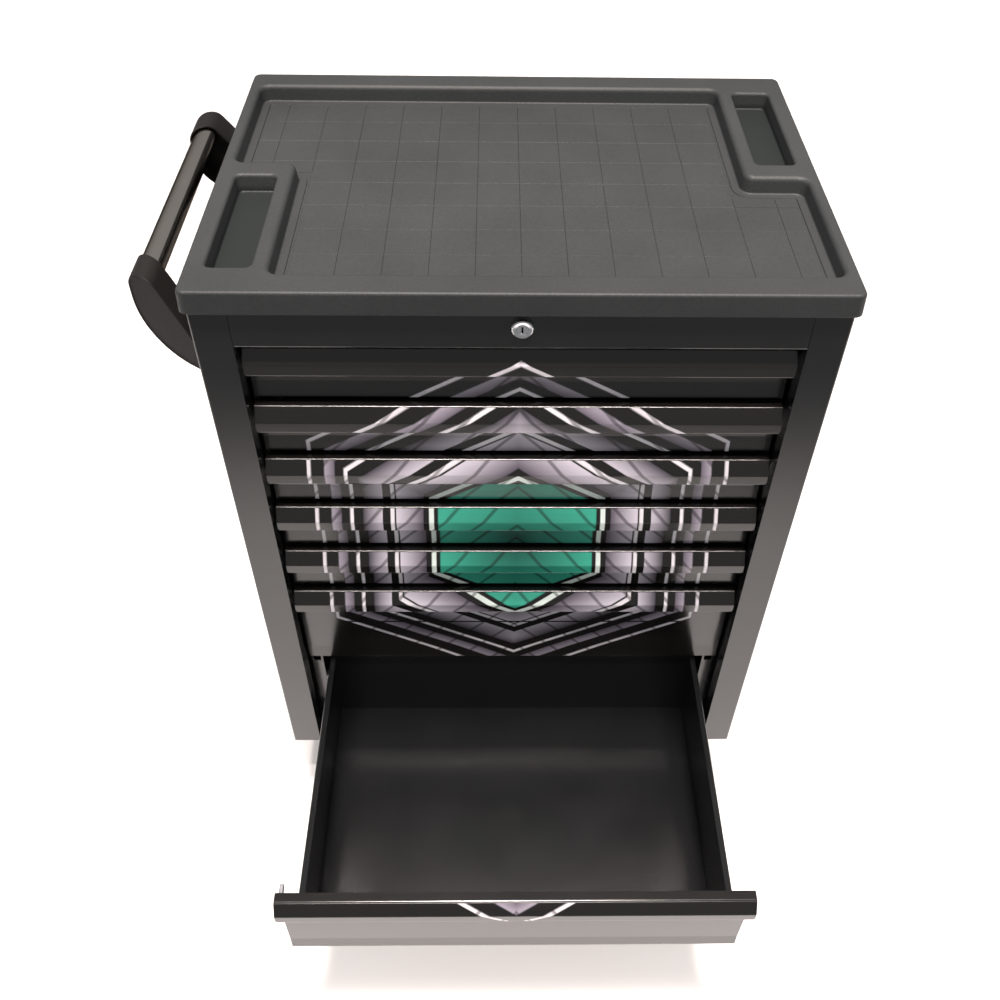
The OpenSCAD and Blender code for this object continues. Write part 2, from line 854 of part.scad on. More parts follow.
// Axle bolt with a head and a nut outside the legs
module axle(x, y) {
    rod_y(x, axle_z, y - leg_out, y + leg_out, axle_d);
    for (end = [y - leg_out - bolt_head_t, y + leg_out])
        translate([x, end, axle_z])
            rotate([-90, 0, 0]) cylinder(d = bolt_head_d, h = bolt_head_t, $fn = 6);
}

module fixed_caster_brackets() {
    color(zinc) for (y = [-caster_y, caster_y])
        difference() {
            translate([caster_x, y, 0]) {
                block([-plate_l / 2, -plate_w / 2, plate_low], [plate_l / 2, plate_w / 2, body_bottom]);
                legs() {
                    polygon([
                        [-bracket_leg_w / 2, plate_low + plate_t / 2],
                        [-hub_r, axle_z],
                        [hub_r, axle_z],
                        [bracket_leg_w / 2, plate_low + plate_t / 2],
                    ]);
                    translate([0, axle_z]) circle(hub_r);
                }
            }
            rod_y(caster_x, axle_z, y - leg_out - cut, y + leg_out + cut, axle_d + 2 * fit_gap);
        }
}

module fixed_axles() {
    color(zinc) for (y = [-caster_y, caster_y]) axle(caster_x, y);
}

// Top plates with the fixed half of the swivel bearing and the kingpin
module swivel_plates() {
    head_low = crown_low - swivel_gap - kingpin_head_t;
    color(zinc) for (y = [-caster_y, caster_y])
        translate([-caster_x, y, 0]) {
            block([-plate_l / 2, -plate_w / 2, plate_low], [plate_l / 2, plate_w / 2, body_bottom]);
            translate([0, 0, crown_high + swivel_gap])
                cylinder(d = swivel_d, h = plate_low - crown_high - swivel_gap);
            translate([0, 0, head_low]) cylinder(d = kingpin_d, h = plate_low - head_low);
            translate([0, 0, head_low]) cylinder(d = kingpin_head_d, h = kingpin_head_t);
        }
}

module swivel_fork(y) {
    color(zinc) difference() {
        union() {
            translate([-caster_x, y, crown_low]) cylinder(d = swivel_d, h = crown_high - crown_low);
            translate([0, y, 0]) legs() {
                polygon([
                    [-caster_x + fork_leg_w / 2, crown_high],
                    [pedal_x - pedal_shaft_d, pedal_z + pedal_shaft_d],
                    [pedal_x + pedal_shaft_d, pedal_z + pedal_shaft_d],
                    [pedal_x + pedal_shaft_d, pedal_z - pedal_shaft_d],
                    [wheel_x + hub_r, axle_z],
                    [wheel_x - hub_r, axle_z],
                    [-caster_x - fork_leg_w / 2, crown_low - leg_turn],
                    [-caster_x - fork_leg_w / 2, crown_high],
                ]);
                translate([wheel_x, axle_z]) circle(hub_r);
            }
        }
        translate([-caster_x, y, crown_low - cut])
            cylinder(d = kingpin_d + 2 * axle_gap, h = crown_high - crown_low + 2 * cut);
        rod_y(wheel_x, axle_z, y - leg_out - cut, y + leg_out + cut, axle_d + 2 * fit_gap);
        rod_y(pedal_x, pedal_z, y - leg_out - cut, y + leg_out + cut, pedal_shaft_d + 2 * axle_gap);
    }
}

// Foot pedal on a shaft across the fork
module brake_pedal(y) {
    half = leg_in - pedal_side_gap;
    end = leg_out + pedal_side_gap;
    color(rubber) {
        rod_y(pedal_x, pedal_z, y - end, y + end, pedal_shaft_d);
        block(
            [pedal_x, y - half, pedal_z],
            [pedal_x + pedal_l, y + half, pedal_z + pedal_t]
        );
    }
}

side_left();
side_right();
back_panel();
base_pan();
top_tray();
lock_fascia();
slide_outers();
handle_brackets();
handle_tube();
lock_housing();
lock_plug();
lock_bar();
fixed_caster_brackets();
fixed_axles();
swivel_plates();
swivel_fork(-caster_y);  // swivel_fork_front
swivel_fork(caster_y);  // swivel_fork_rear
color(zinc) axle(wheel_x, -caster_y);  // swivel_axle_front
color(zinc) axle(wheel_x, caster_y);  // swivel_axle_rear
brake_pedal(-caster_y);  // brake_pedal_front
brake_pedal(caster_y);  // brake_pedal_rear
translate([wheel_x, -caster_y, axle_z]) wheel();  // wheel_left_front
translate([wheel_x, caster_y, axle_z]) wheel();  // wheel_left_rear
translate([caster_x, -caster_y, axle_z]) wheel();  // wheel_right_front
translate([caster_x, caster_y, axle_z]) wheel();  // wheel_right_rear
for (i = DRAWERS) {
    drawer(i);
    drawer_pull(i);
    drawer_runners(i);
    slide_middles(i);
    drawer_latch(i);
}
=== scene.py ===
import math

import bmesh
import bpy
from mathutils import Matrix, Vector


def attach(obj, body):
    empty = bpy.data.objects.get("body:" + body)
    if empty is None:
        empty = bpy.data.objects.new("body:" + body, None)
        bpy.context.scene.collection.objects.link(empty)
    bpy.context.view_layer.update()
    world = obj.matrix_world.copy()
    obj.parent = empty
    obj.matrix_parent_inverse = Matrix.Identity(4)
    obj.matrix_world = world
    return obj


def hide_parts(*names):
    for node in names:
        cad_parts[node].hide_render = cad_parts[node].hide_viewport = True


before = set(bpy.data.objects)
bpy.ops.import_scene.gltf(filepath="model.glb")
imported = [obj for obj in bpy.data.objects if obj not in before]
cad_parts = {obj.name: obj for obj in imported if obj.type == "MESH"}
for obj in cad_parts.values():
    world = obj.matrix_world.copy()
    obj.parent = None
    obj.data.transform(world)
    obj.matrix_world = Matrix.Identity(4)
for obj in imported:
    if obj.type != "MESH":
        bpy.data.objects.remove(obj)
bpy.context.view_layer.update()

# Body sides: each is one steel sheet folded at the front into a hollow post, with two hat-shaped
# uprights spot-welded inside to carry the slides. Sprayed with black powder and baked hard.
MM = 0.001
BODY_HALF_W = 340.0
BODY_HALF_D = 232.0
FOLD_R = 2.2
FOLD_STEPS = 3
EDGE_R = 0.4
EDGE_STEPS = 2
NEAR = 0.1
SAME_POINT = 0.001
PACKED_POINT = 0.002
FLAT_ANGLE = 1.0
SHARP_ANGLE = 40.0
CREASE_ANGLE = 32.0
COAT_BLACK = "#131415"
COAT_ROUGH = (0.155, 0.19)
PEEL = 1.6
HAZE = 90.0


def srgb(code):
    """Linear colour from an sRGB hex value."""
    values = [int(code[k:k + 2], 16) / 255 for k in (1, 3, 5)]
    return [v / 12.92 if v <= 0.04045 else ((v + 0.055) / 1.055) ** 2.4 for v in values] + [1.0]


def per_metre(size):
    """Texture scale whose features are about this many millimetres wide."""
    return 1.0 / (size * MM)


def add(tree, kind, inputs=None, **settings):
    """Add one node with its settings; inputs are values or the outputs of other nodes."""
    node = tree.nodes.new(kind)
    for name, value in settings.items():
        setattr(node, name, value)
    for key, value in (inputs or {}).items():
        if isinstance(value, bpy.types.NodeSocket):
            tree.links.new(value, node.inputs[key])
        else:
            node.inputs[key].default_value = value
    return node


def surface(name, **values):
    """New material: the material, its node tree, its shader and the coordinates of the piece."""
    material = bpy.data.materials.new(name)
    material.use_nodes = True
    tree = material.node_tree
    shader = tree.nodes["Principled BSDF"]
    for key, value in values.items():
        shader.inputs[key.replace("_", " ")].default_value = value
    return material, tree, shader, add(tree, "ShaderNodeTexCoord").outputs["Object"]


def powder_coat(name):
    """Baked powder: an even black, a faint orange-peel ripple and gloss that varies from place to place."""
    material, tree, shader, place = surface(name, Base_Color=srgb(COAT_BLACK), IOR=1.6)
    ripple = add(tree, "ShaderNodeTexNoise", {"Vector": place, "Scale": per_metre(PEEL), "Detail": 1.0})
    bump = add(tree, "ShaderNodeBump", {
        "Height": ripple.outputs["Fac"], "Strength": 0.05, "Distance": 0.0003})
    haze = add(tree, "ShaderNodeTexNoise", {"Vector": place, "Scale": per_metre(HAZE), "Detail": 3.0})
    gloss = add(tree, "ShaderNodeMapRange", {
        "Value": haze.outputs["Fac"], "From Min": 0.3, "From Max": 0.7,
        "To Min": COAT_ROUGH[0], "To Max": COAT_ROUGH[1]})
    tree.links.new(gloss.outputs["Result"], shader.inputs["Roughness"])
    tree.links.new(bump.outputs["Normal"], shader.inputs["Normal"])
    return material, tree, shader, place


def baked(obj):
    """The same object with its modifiers turned into plain mesh."""
    shape = obj.evaluated_get(bpy.context.evaluated_depsgraph_get())
    mesh = bpy.data.meshes.new_from_object(shape)
    old = obj.data
    obj.modifiers.clear()
    obj.data = mesh
    bpy.data.meshes.remove(old)
    return obj


def smoothed(obj, crease=CREASE_ANGLE):
    """Shade a piece smoothly except across its creases, with its flat faces kept flat."""
    obj.data.shade_smooth()
    obj.data.set_sharp_from_angle(angle=math.radians(crease))
    obj.modifiers.new("flat faces stay flat", "WEIGHTED_NORMAL").keep_sharp = True
    return baked(obj)


def finished(name, bm, material, crease=CREASE_ANGLE):
    """Object at the origin from geometry in millimetres, smooth except across its creases."""
    bmesh.ops.remove_doubles(bm, verts=bm.verts, dist=SAME_POINT)
    bmesh.ops.recalc_face_normals(bm, faces=bm.faces)
    bmesh.ops.scale(bm, vec=(MM, MM, MM), verts=bm.verts)
    mesh = bpy.data.meshes.new(name)
    bm.to_mesh(mesh)
    bm.free()
    mesh.materials.append(material)
    obj = bpy.data.objects.new(name, mesh)
    bpy.context.collection.objects.link(obj)
    return smoothed(obj, crease)


def softened(node, name, material, edge=EDGE_R, fold=0.0, is_fold=None):
    """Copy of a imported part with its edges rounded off, and its main folds rounded further."""
    bm = bmesh.new()
    bm.from_mesh(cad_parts[node].data)
    bmesh.ops.scale(bm, vec=(1 / MM, 1 / MM, 1 / MM), verts=bm.verts)
    bmesh.ops.remove_doubles(bm, verts=bm.verts, dist=PACKED_POINT)
    bmesh.ops.dissolve_limit(bm, angle_limit=math.radians(FLAT_ANGLE), verts=bm.verts, edges=bm.edges)
    for width, wanted, steps in ((fold, is_fold, FOLD_STEPS), (edge, None, EDGE_STEPS)):
        edges = [e for e in bm.edges
                 if len(e.link_faces) == 2 and e.calc_face_angle(0) > math.radians(SHARP_ANGLE)
                 and (wanted is None or wanted((e.verts[0].co + e.verts[1].co) / 2))]
        if width and edges:
            bmesh.ops.bevel(bm, geom=edges, offset=width, segments=steps, profile=0.5, affect="EDGES",
                            clamp_overlap=True)
    return finished(name, bm, material)


def fit(obj, body, slot, *nodes):
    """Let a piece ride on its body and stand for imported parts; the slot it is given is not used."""
    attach(obj, body)
    for node in nodes:
        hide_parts(node)
    return obj


def dressed(node, name, body, slot, material, **rounding):
    """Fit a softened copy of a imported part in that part's place."""
    return fit(softened(node, name, material, **rounding), body, slot, node)


def body_corner(middle):
    """True on the four upright folds of the body."""
    return abs(abs(middle.x) - BODY_HALF_W) < NEAR and abs(abs(middle.y) - BODY_HALF_D) < NEAR


black_coat = powder_coat("black powder coat on steel")[0]
for side in ("left", "right"):
    dressed("side_" + side, "side_sheet_" + side, "cabinet", "black_paint", black_coat,
            fold=FOLD_R, is_fold=body_corner)

# Rear panel and base pan: flat steel sheets let in between the sides, with the folded column for the
# lock bar inside. Screwed through the rear flanges with pan-head screws.
BODY_LOW = 130.0
SCREW_HEAD = 7.0
SCREW_RISE = 2.0
SCREW_SIDES = 20
SCREW_PITCH = 130.0
SCREW_ROWS = 7
SCREW_LOW = 30.0
SCREW_INSET = 10.0
SCREW_SEAT = 0.2
WASHER_SIDES = 24
WASHER_SHARE = 0.3
CROWN_SHARE = 0.34
DOME_SHARE = 0.35
TO_BACK = (-math.pi / 2, 0.0, 0.0)


def point_tree(name, inputs):
    """New node tree that runs on points, and what it is given: these named inputs and a finish."""
    tree = bpy.data.node_groups.new(name, "GeometryNodeTree")
    for label, kind in (("Geometry", "Geometry"), *inputs, ("Finish", "Material")):
        tree.interface.new_socket(label, in_out="INPUT", socket_type="NodeSocket" + kind)
    tree.interface.new_socket("Geometry", in_out="OUTPUT", socket_type="NodeSocketGeometry")
    return tree, add(tree, "NodeGroupInput").outputs


def on_points(tree, given, placing):
    """End of such a tree: one copy at every point, made real, with its finish set."""
    placed = add(tree, "GeometryNodeInstanceOnPoints", {"Points": given["Geometry"], **placing})
    real = add(tree, "GeometryNodeRealizeInstances", {"Geometry": placed.outputs["Instances"]})
    done = add(tree, "GeometryNodeSetMaterial", {
        "Geometry": real.outputs["Geometry"], "Material": given["Finish"]})
    add(tree, "NodeGroupOutput", {"Geometry": done.outputs["Geometry"]})
    return tree


def head_tree():
    """Node tree that puts a domed screw head on a flat washer at every point it is given."""
    tree, given = point_tree("screw heads", (
        ("Head Diameter", "Float"), ("Head Rise", "Float"), ("Washer Diameter", "Float"), ("Sides", "Int"),
        ("Turn", "Rotation")))
    size = {}
    for name, whole, share in (
            ("head", "Head Diameter", 0.5), ("crown", "Head Diameter", CROWN_SHARE),
            ("washer", "Washer Diameter", 0.5), ("washer rise", "Head Rise", WASHER_SHARE),
            ("dome rise", "Head Rise", DOME_SHARE)):
        part = add(tree, "ShaderNodeMath", {0: given[whole], 1: share}, operation="MULTIPLY")
        size[name] = part.outputs[0]
    washer = add(tree, "GeometryNodeMeshCylinder", {
        "Vertices": WASHER_SIDES, "Radius": size["washer"], "Depth": size["washer rise"]})
    wall = add(tree, "GeometryNodeMeshCone", {
        "Vertices": given["Sides"], "Radius Top": size["head"], "Radius Bottom": size["head"],
        "Depth": given["Head Rise"]})
    dome = add(tree, "GeometryNodeMeshCone", {
        "Vertices": given["Sides"], "Radius Top": size["crown"], "Radius Bottom": size["head"],
        "Depth": size["dome rise"]})
    lift = add(tree, "ShaderNodeCombineXYZ", {"Z": given["Head Rise"]})
    lifted = add(tree, "GeometryNodeTransform", {
        "Geometry": dome.outputs["Mesh"], "Translation": lift.outputs["Vector"]})
    head = add(tree, "GeometryNodeJoinGeometry")
    for part in (washer.outputs["Mesh"], wall.outputs["Mesh"], lifted.outputs["Geometry"]):
        tree.links.new(part, head.inputs["Geometry"])
    return on_points(tree, given, {"Instance": head.outputs["Geometry"], "Rotation": given["Turn"]})


def grown(name, tree, points, sizes, spans=None):
    """Plain mesh from a node tree that runs on a set of points in millimetres."""
    seed = bpy.data.meshes.new(name)
    seed.from_pydata([Vector(p) * MM for p in points], [], [])
    if spans:
        held = seed.attributes.new("span", "FLOAT_VECTOR", "POINT")
        for item, span in zip(held.data, spans):
            item.vector = Vector(span) * MM
    obj = bpy.data.objects.new(name, seed)
    bpy.context.collection.objects.link(obj)
    modifier = obj.modifiers.new("grow", "NODES")
    modifier.node_group = tree
    for item in tree.interface.items_tree:
        if item.in_out == "INPUT" and item.name in sizes:
            modifier[item.identifier] = sizes[item.name]
    return baked(obj)


screw_heads = head_tree()


def heads(name, points, body, slot, finish, turn, head, rise, washer, sides):
    """Screw or bolt heads at the given points, facing away along the given turn."""
    sizes = {"Head Diameter": head * MM, "Head Rise": rise * MM, "Washer Diameter": washer * MM,
             "Sides": sides, "Turn": turn, "Finish": finish}
    return fit(grown(name, screw_heads, points, sizes), body, slot)


for node, name in (("back_panel", "rear_panel"), ("base_pan", "base_sheet")):
    dressed(node, name, "cabinet", "black_paint", black_coat)
flange_x = BODY_HALF_W - SCREW_INSET
rows = [BODY_LOW + SCREW_LOW + SCREW_PITCH * k for k in range(SCREW_ROWS)]
seats = [(x, BODY_HALF_D + SCREW_SEAT, z) for x in (-flange_x, flange_x) for z in rows]
heads("rear_screws", seats, "cabinet", "black_paint", black_coat, TO_BACK,
      head=SCREW_HEAD, rise=SCREW_RISE, washer=SCREW_HEAD, sides=SCREW_SIDES)

# Lock fascia: the strip above the drawers, a steel sheet with its top and bottom edges folded back.
# Spot-welded between the posts and coated with them; the lock goes through its middle.
BODY_TOP = 973.0
SHEET = 1.2
FASCIA_H = 53.0
FASCIA_HALF = 299.1
FASCIA_FOLD = 14.0
FASCIA_BEND = 1.2
LOCK_Z = 949.4
BARREL_D = 18.8
HOLE_GAP = 0.1
HOLE_REACH = 5.0
ARC_STEPS = 5
STRAIGHT = 0.01
ROUND_SIDES = 48


def folded(path, bend, sheet):
    """Pairs of outer and inner points of a folded sheet, which lies to the left of its outer path."""
    pairs = []
    points = [Vector(p) for p in path]
    for k, p in enumerate(points):
        before = (p - points[k - 1]).normalized() if k else (points[1] - p).normalized()
        after = (points[k + 1] - p).normalized() if k + 1 < len(points) else before
        turn = math.atan2(before.cross(after), before.dot(after))
        if abs(turn) < STRAIGHT:
            pairs.append((p, p + Vector((-before.y, before.x)) * sheet))
            continue
        radius = bend + (sheet if turn > 0 else 0.0)
        start = p - before * radius * math.tan(abs(turn) / 2)
        centre = start + Vector((-before.y, before.x)) * math.copysign(radius, turn)
        for j in range(ARC_STEPS + 1):
            swing = Matrix.Rotation(turn * j / ARC_STEPS, 2)
            way = swing @ before
            spot = centre + swing @ (start - centre)
            pairs.append((spot, spot + Vector((-way.y, way.x)) * sheet))
    return pairs


def drawn_out(bm, pairs, span, place):
    """Sheet of that section, drawn out between the ends that span gives for each point of the section."""
    rings = []
    for outer, inner in pairs:
        low, high = span(outer)
        rings.append([bm.verts.new(place(q, w)) for q, w in (
            (outer, low), (outer, high), (inner, high), (inner, low))])
    for a, b in zip(rings, rings[1:]):
        for k in range(4):
            bm.faces.new((a[k], a[(k + 1) % 4], b[(k + 1) % 4], b[k]))
    bm.faces.new(rings[0])
    bm.faces.new(rings[-1])


def across(q, w):
    """Place of a section point (Y, Z) at a width."""
    return (w, q.x, q.y)


def lofted(bm, rings, closed=False, caps=False):
    """Skin over rings of points, each a closed loop of the same count."""
    loops = [[bm.verts.new(p) for p in ring] for ring in rings]
    pairs = list(zip(loops, loops[1:])) + ([(loops[-1], loops[0])] if closed else [])
    for a, b in pairs:
        for k in range(len(a)):
            n = (k + 1) % len(a)
            bm.faces.new((a[k], a[n], b[n], b[k]))
    if caps:
        bm.faces.new(loops[0])
        bm.faces.new(loops[-1])
    return loops


def turned_y(centre, profile, count=ROUND_SIDES):
    """Rings about an axis along Y through a centre, from points of radius and depth."""
    x, y, z = centre
    angles = [2 * math.pi * k / count for k in range(count)]
    return [[(x + r * math.cos(a), y + d, z + r * math.sin(a)) for a in angles] for r, d in profile]


def cut_by(obj, cutter):
    """Take a closed shape out of a piece."""
    cutter.data.materials.append(obj.data.materials[0])
    modifier = obj.modifiers.new("cut", "BOOLEAN")
    modifier.object = cutter
    baked(obj)
    bpy.data.objects.remove(cutter)
    return smoothed(obj)


bm = bmesh.new()
front = -BODY_HALF_D
low = BODY_TOP - FASCIA_H
path = [(front + FASCIA_FOLD, BODY_TOP), (front, BODY_TOP), (front, low), (front + FASCIA_FOLD, low)]
drawn_out(bm, folded(path, FASCIA_BEND, SHEET), lambda q: (-FASCIA_HALF, FASCIA_HALF), across)
fascia = finished("lock_strip", bm, black_coat)
bm = bmesh.new()
hole_r = BARREL_D / 2 + HOLE_GAP
lofted(bm, turned_y((0, front, LOCK_Z), [(hole_r, -HOLE_REACH), (hole_r, HOLE_REACH)]), caps=True)
fit(cut_by(fascia, finished("lock_hole", bm, black_coat)), "cabinet", "black_paint", "lock_fascia")

# Telescopic slides: three nested channels of zinc-plated strip a side, screwed to the uprights and
# riveted to the drawers, one pair to each drawer.
DRAWERS = range(1, 8)
BLOOM = 7.0

# Zinc plate gives the eye a bright grey metal with soft cloudy patches, some of them duller.
zinc_plate, tree, shader, place = surface(
    "bright zinc plate on steel", Base_Color=srgb("#a9abad"), Metallic=1.0)
bloom = add(tree, "ShaderNodeTexNoise", {"Vector": place, "Scale": per_metre(BLOOM), "Detail": 3.0})
spangle = add(tree, "ShaderNodeValToRGB", {"Fac": bloom.outputs["Fac"]})
spangle.color_ramp.elements[0].color = srgb("#8f9296")
spangle.color_ramp.elements[1].color = srgb("#c3c6c8")
dull = add(tree, "ShaderNodeMapRange", {"Value": bloom.outputs["Fac"], "To Min": 0.24, "To Max": 0.42})
tree.links.new(spangle.outputs["Color"], shader.inputs["Base Color"])
tree.links.new(dull.outputs["Result"], shader.inputs["Roughness"])

dressed("slide_outers", "slide_outer_members", "cabinet", "zinc_steel", zinc_plate)
for i in DRAWERS:
    dressed(f"slide_middles_{i}", f"slide_middle_pair_{i}", f"slide_{i}", "zinc_steel", zinc_plate)
    dressed(f"drawer_runners_{i}", f"drawer_runner_pair_{i}", f"drawer_{i}", "zinc_steel", zinc_plate)

# Drawers: a folded tray of thin steel with its wall tops turned in, and a front panel whose lower edge
# flares out. The pull is a separate folded strip along the top of the front. All powder-coated, with a
# printed design across the fronts.
TOP_PULL_Z = 907.4
LOW_PULL_Z = 315.4
ROW_PITCH = 84.2
PULL_Z = {i: TOP_PULL_Z - ROW_PITCH * (i - 1) if i < 7 else LOW_PULL_Z for i in DRAWERS}
SHALLOW_H, DEEP_H = 80.7, 167.5
FRONT_H = {i: SHALLOW_H if i < 6 else DEEP_H for i in DRAWERS}
OPEN_BY = 343.0
OUT = {i: OPEN_BY if i == 7 else 0.0 for i in DRAWERS}
DRAWER_HALF = 268.0
DRAWER_BACK = 148.2
PANEL_Y = -203.0
PANEL_BACK = -201.8
FLANGE = 8.0
BOX_LIFT = 15.0
BOX_DROP = 2.7
BEND_R = 1.1
WALL_GAP = 0.2
FRONT_HALF = 296.5
FRONT_CREASE = 8.0
FLARE_H = 24.0
FLARE_OUT = 1.5
HEM_H = 10.0
HEM_D = 2.7
HEM_R = 0.1
PULL_Y = -214.5
PULL_SHEET = 1.5
PULL_SLOPE_H = 17.3
PULL_SLOPE_OUT = 10.5
PULL_DROP = 33.0
PULL_BEND = 3.0
PULL_CREASE = 25.0
LIP_BEND = 0.5
LIP_RETURN = 2.4
LIP_CORNER = 5.5
LIP_STEPS = (1.0, 0.75, 0.5)

# The print is a set of nested hexagons, centred on the closed fronts and hatched along their sides. Its
# ink dries as glossy as the coat. A ring runs between two shares of the print's size, from ink to ink.
PRINT_Z = 0.585
PRINT_HALF_W = 0.252
PRINT_HALF_H = 0.315
PRINT_LEAN = 0.55
INK_BLACK = "#161413"
CORE_INKS = ((0.0, "#0d4a3e"), (0.385, "#3fae94"), (0.390, INK_BLACK), (1.0, INK_BLACK))
RINGS = (
    (0.410, 0.430, "#e9f5ef", "#e9f5ef"),
    (0.460, 0.590, "#5d5562", "#d9d2de"),
    (0.602, 0.618, "#f2eef4", "#f2eef4"),
    (0.660, 0.750, "#cfc8d4", "#4c4850"),
    (0.800, 0.815, "#f2eef4", "#f2eef4"),
    (0.860, 0.905, "#6f6773", "#a8a0ae"),
    (0.970, 0.985, "#e6e1e8", "#e6e1e8"),
)
RING_EDGE = 0.002
HATCH = 75.0
BARE_EDGE = 1.4

printed_coat, tree, shader, place = powder_coat("black powder coat with printed stripes")
xyz = add(tree, "ShaderNodeSeparateXYZ", {"Vector": place}).outputs
aside = add(tree, "ShaderNodeMath", {0: xyz["X"]}, operation="ABSOLUTE").outputs[0]
above = add(tree, "ShaderNodeMath", {0: xyz["Z"], 1: PRINT_Z}, operation="SUBTRACT").outputs[0]
away = add(tree, "ShaderNodeMath", {0: above}, operation="ABSOLUTE").outputs[0]
slant = add(tree, "ShaderNodeMath", {0: aside, 1: PRINT_LEAN, 2: away}, operation="MULTIPLY_ADD").outputs[0]
by_slant = add(tree, "ShaderNodeMath", {0: slant, 1: PRINT_HALF_H}, operation="DIVIDE").outputs[0]
by_side = add(tree, "ShaderNodeMath", {0: aside, 1: PRINT_HALF_W}, operation="DIVIDE").outputs[0]
ring_at = add(tree, "ShaderNodeMath", {0: by_slant, 1: by_side}, operation="MAXIMUM").outputs[0]
inks = add(tree, "ShaderNodeValToRGB", {"Fac": ring_at})
stops = inks.color_ramp.elements
stops[0].color = srgb(CORE_INKS[0][1])
stops[1].color = srgb(CORE_INKS[-1][1])
for at, shade in CORE_INKS[1:-1]:
    stops.new(at).color = srgb(shade)
for start, end, inner, outer in RINGS:
    for at, shade in (
            (start - RING_EDGE, INK_BLACK), (start, inner), (end, outer), (end + RING_EDGE, INK_BLACK)):
        stops.new(at).color = srgb(shade)
mirrored = add(tree, "ShaderNodeCombineXYZ", {"X": aside, "Z": above})
hatch = add(tree, "ShaderNodeTexWave", {
    "Vector": mirrored.outputs["Vector"], "Scale": per_metre(HATCH), "Distortion": 0.0},
    wave_type="BANDS", bands_direction="DIAGONAL")
cut = add(tree, "ShaderNodeMapRange", {
    "Value": hatch.outputs["Fac"], "From Min": 0.01, "From Max": 0.06, "To Min": 0.4, "To Max": 1.0})
# The print stops short of the folded top edge of each pull.
level = add(tree, "ShaderNodeMath", {0: xyz["Z"], 1: PULL_Z[6] * MM}, operation="SUBTRACT").outputs[0]
row = add(tree, "ShaderNodeMath", {0: level, 1: ROW_PITCH * MM}, operation="DIVIDE").outputs[0]
off_row = add(tree, "ShaderNodeMath", {0: row, 1: 0.5}, operation="PINGPONG").outputs[0]
at_row = add(tree, "ShaderNodeMath", {0: off_row, 1: BARE_EDGE / ROW_PITCH}, operation="LESS_THAN").outputs[0]
at_low = add(tree, "ShaderNodeMath", {
    0: xyz["Z"], 1: LOW_PULL_Z * MM, 2: BARE_EDGE * MM}, operation="COMPARE").outputs[0]
bare = add(tree, "ShaderNodeMath", {0: at_row, 1: at_low}, operation="MAXIMUM").outputs[0]
inked = add(tree, "ShaderNodeMath", {
    0: cut.outputs["Result"], 1: bare}, operation="SUBTRACT", use_clamp=True).outputs[0]
print_ink = add(tree, "ShaderNodeMix", {
    "Factor": inked, "A": srgb(INK_BLACK), "B": inks.outputs["Color"]}, data_type="RGBA")
tree.links.new(print_ink.outputs["Result"], shader.inputs["Base Color"])


def lengthwise(q, w):
    """Place of a section point (X, Z) at a depth."""
    return (q.x, w, q.y)


def pull_span(q, top):
    """Ends of a pull at one point of its section, with the lower corners of its lip rounded."""
    below = max(0.0, top - PULL_DROP + LIP_CORNER - q.y)
    back = LIP_CORNER - math.sqrt(max(LIP_CORNER ** 2 - below ** 2, 0.0))
    return (-FRONT_HALF + back, FRONT_HALF - back)


for i in DRAWERS:
    body, top, low, y = f"drawer_{i}", PULL_Z[i], PULL_Z[i] - FRONT_H[i], -OUT[i]
    box_low, box_top = low + BOX_LIFT, top - BOX_DROP
    bm = bmesh.new()
    flange = DRAWER_HALF - FLANGE
    path = [(-flange, box_top), (-DRAWER_HALF, box_top), (-DRAWER_HALF, box_low), (DRAWER_HALF, box_low),
            (DRAWER_HALF, box_top), (flange, box_top)]
    ends = (PANEL_BACK + y, DRAWER_BACK - SHEET + y)
    drawn_out(bm, folded(path, BEND_R, SHEET), lambda q: ends, lengthwise)
    wall = [(DRAWER_BACK + y, box_low), (DRAWER_BACK + y, box_top)]
    wall_half = DRAWER_HALF - WALL_GAP
    drawn_out(bm, folded(wall, BEND_R, SHEET), lambda q: (-wall_half, wall_half), across)
    fit(finished(f"drawer_tray_{i}", bm, black_coat), body, "black_paint")

    bm = bmesh.new()
    panel, flare = PANEL_Y + y, PANEL_Y - FLARE_OUT + y
    hem = flare + HEM_D
    path = [(panel, top - PULL_SHEET), (panel, low + FLARE_H), (flare, low), (hem, low),
            (hem + FLARE_OUT * HEM_H / FLARE_H, low + HEM_H)]
    drawn_out(bm, folded(path, HEM_R, SHEET), lambda q: (-FRONT_HALF, FRONT_HALF), across)
    sheet = finished(f"drawer_front_{i}", bm, printed_coat, crease=FRONT_CREASE)
    fit(sheet, body, "black_paint", f"drawer_{i}")

    bm = bmesh.new()
    lip = PULL_Y - PULL_SLOPE_OUT + y
    middle = (lip, top - (PULL_SLOPE_H + PULL_DROP) / 2)
    path = [(PANEL_BACK + y, top), (PULL_Y + y, top), (lip, top - PULL_SLOPE_H), middle]
    edge = [middle] + [(lip, top - PULL_DROP + LIP_CORNER * share) for share in LIP_STEPS]
    edge += [(lip, top - PULL_DROP), (lip + LIP_RETURN, top - PULL_DROP)]
    section = folded(path, PULL_BEND, PULL_SHEET) + folded(edge, LIP_BEND, PULL_SHEET)[1:]
    drawn_out(bm, section, lambda q: pull_span(q, top), across)
    strip = finished(f"pull_strip_{i}", bm, printed_coat, crease=PULL_CREASE)
    fit(strip, body, "black_paint", f"drawer_pull_{i}")

# Drawer latches: a bright zinc-plated tab in the finger gap at the left end of each pull, pressed
# sideways by a finger. Its tongue goes through the front panel into a slot in the upright.
LATCH_EDGE = 0.7

for i in DRAWERS:
    dressed(f"drawer_latch_{i}", f"latch_tab_{i}", f"latch_{i}", "zinc_steel", zinc_plate, edge=LATCH_EDGE)

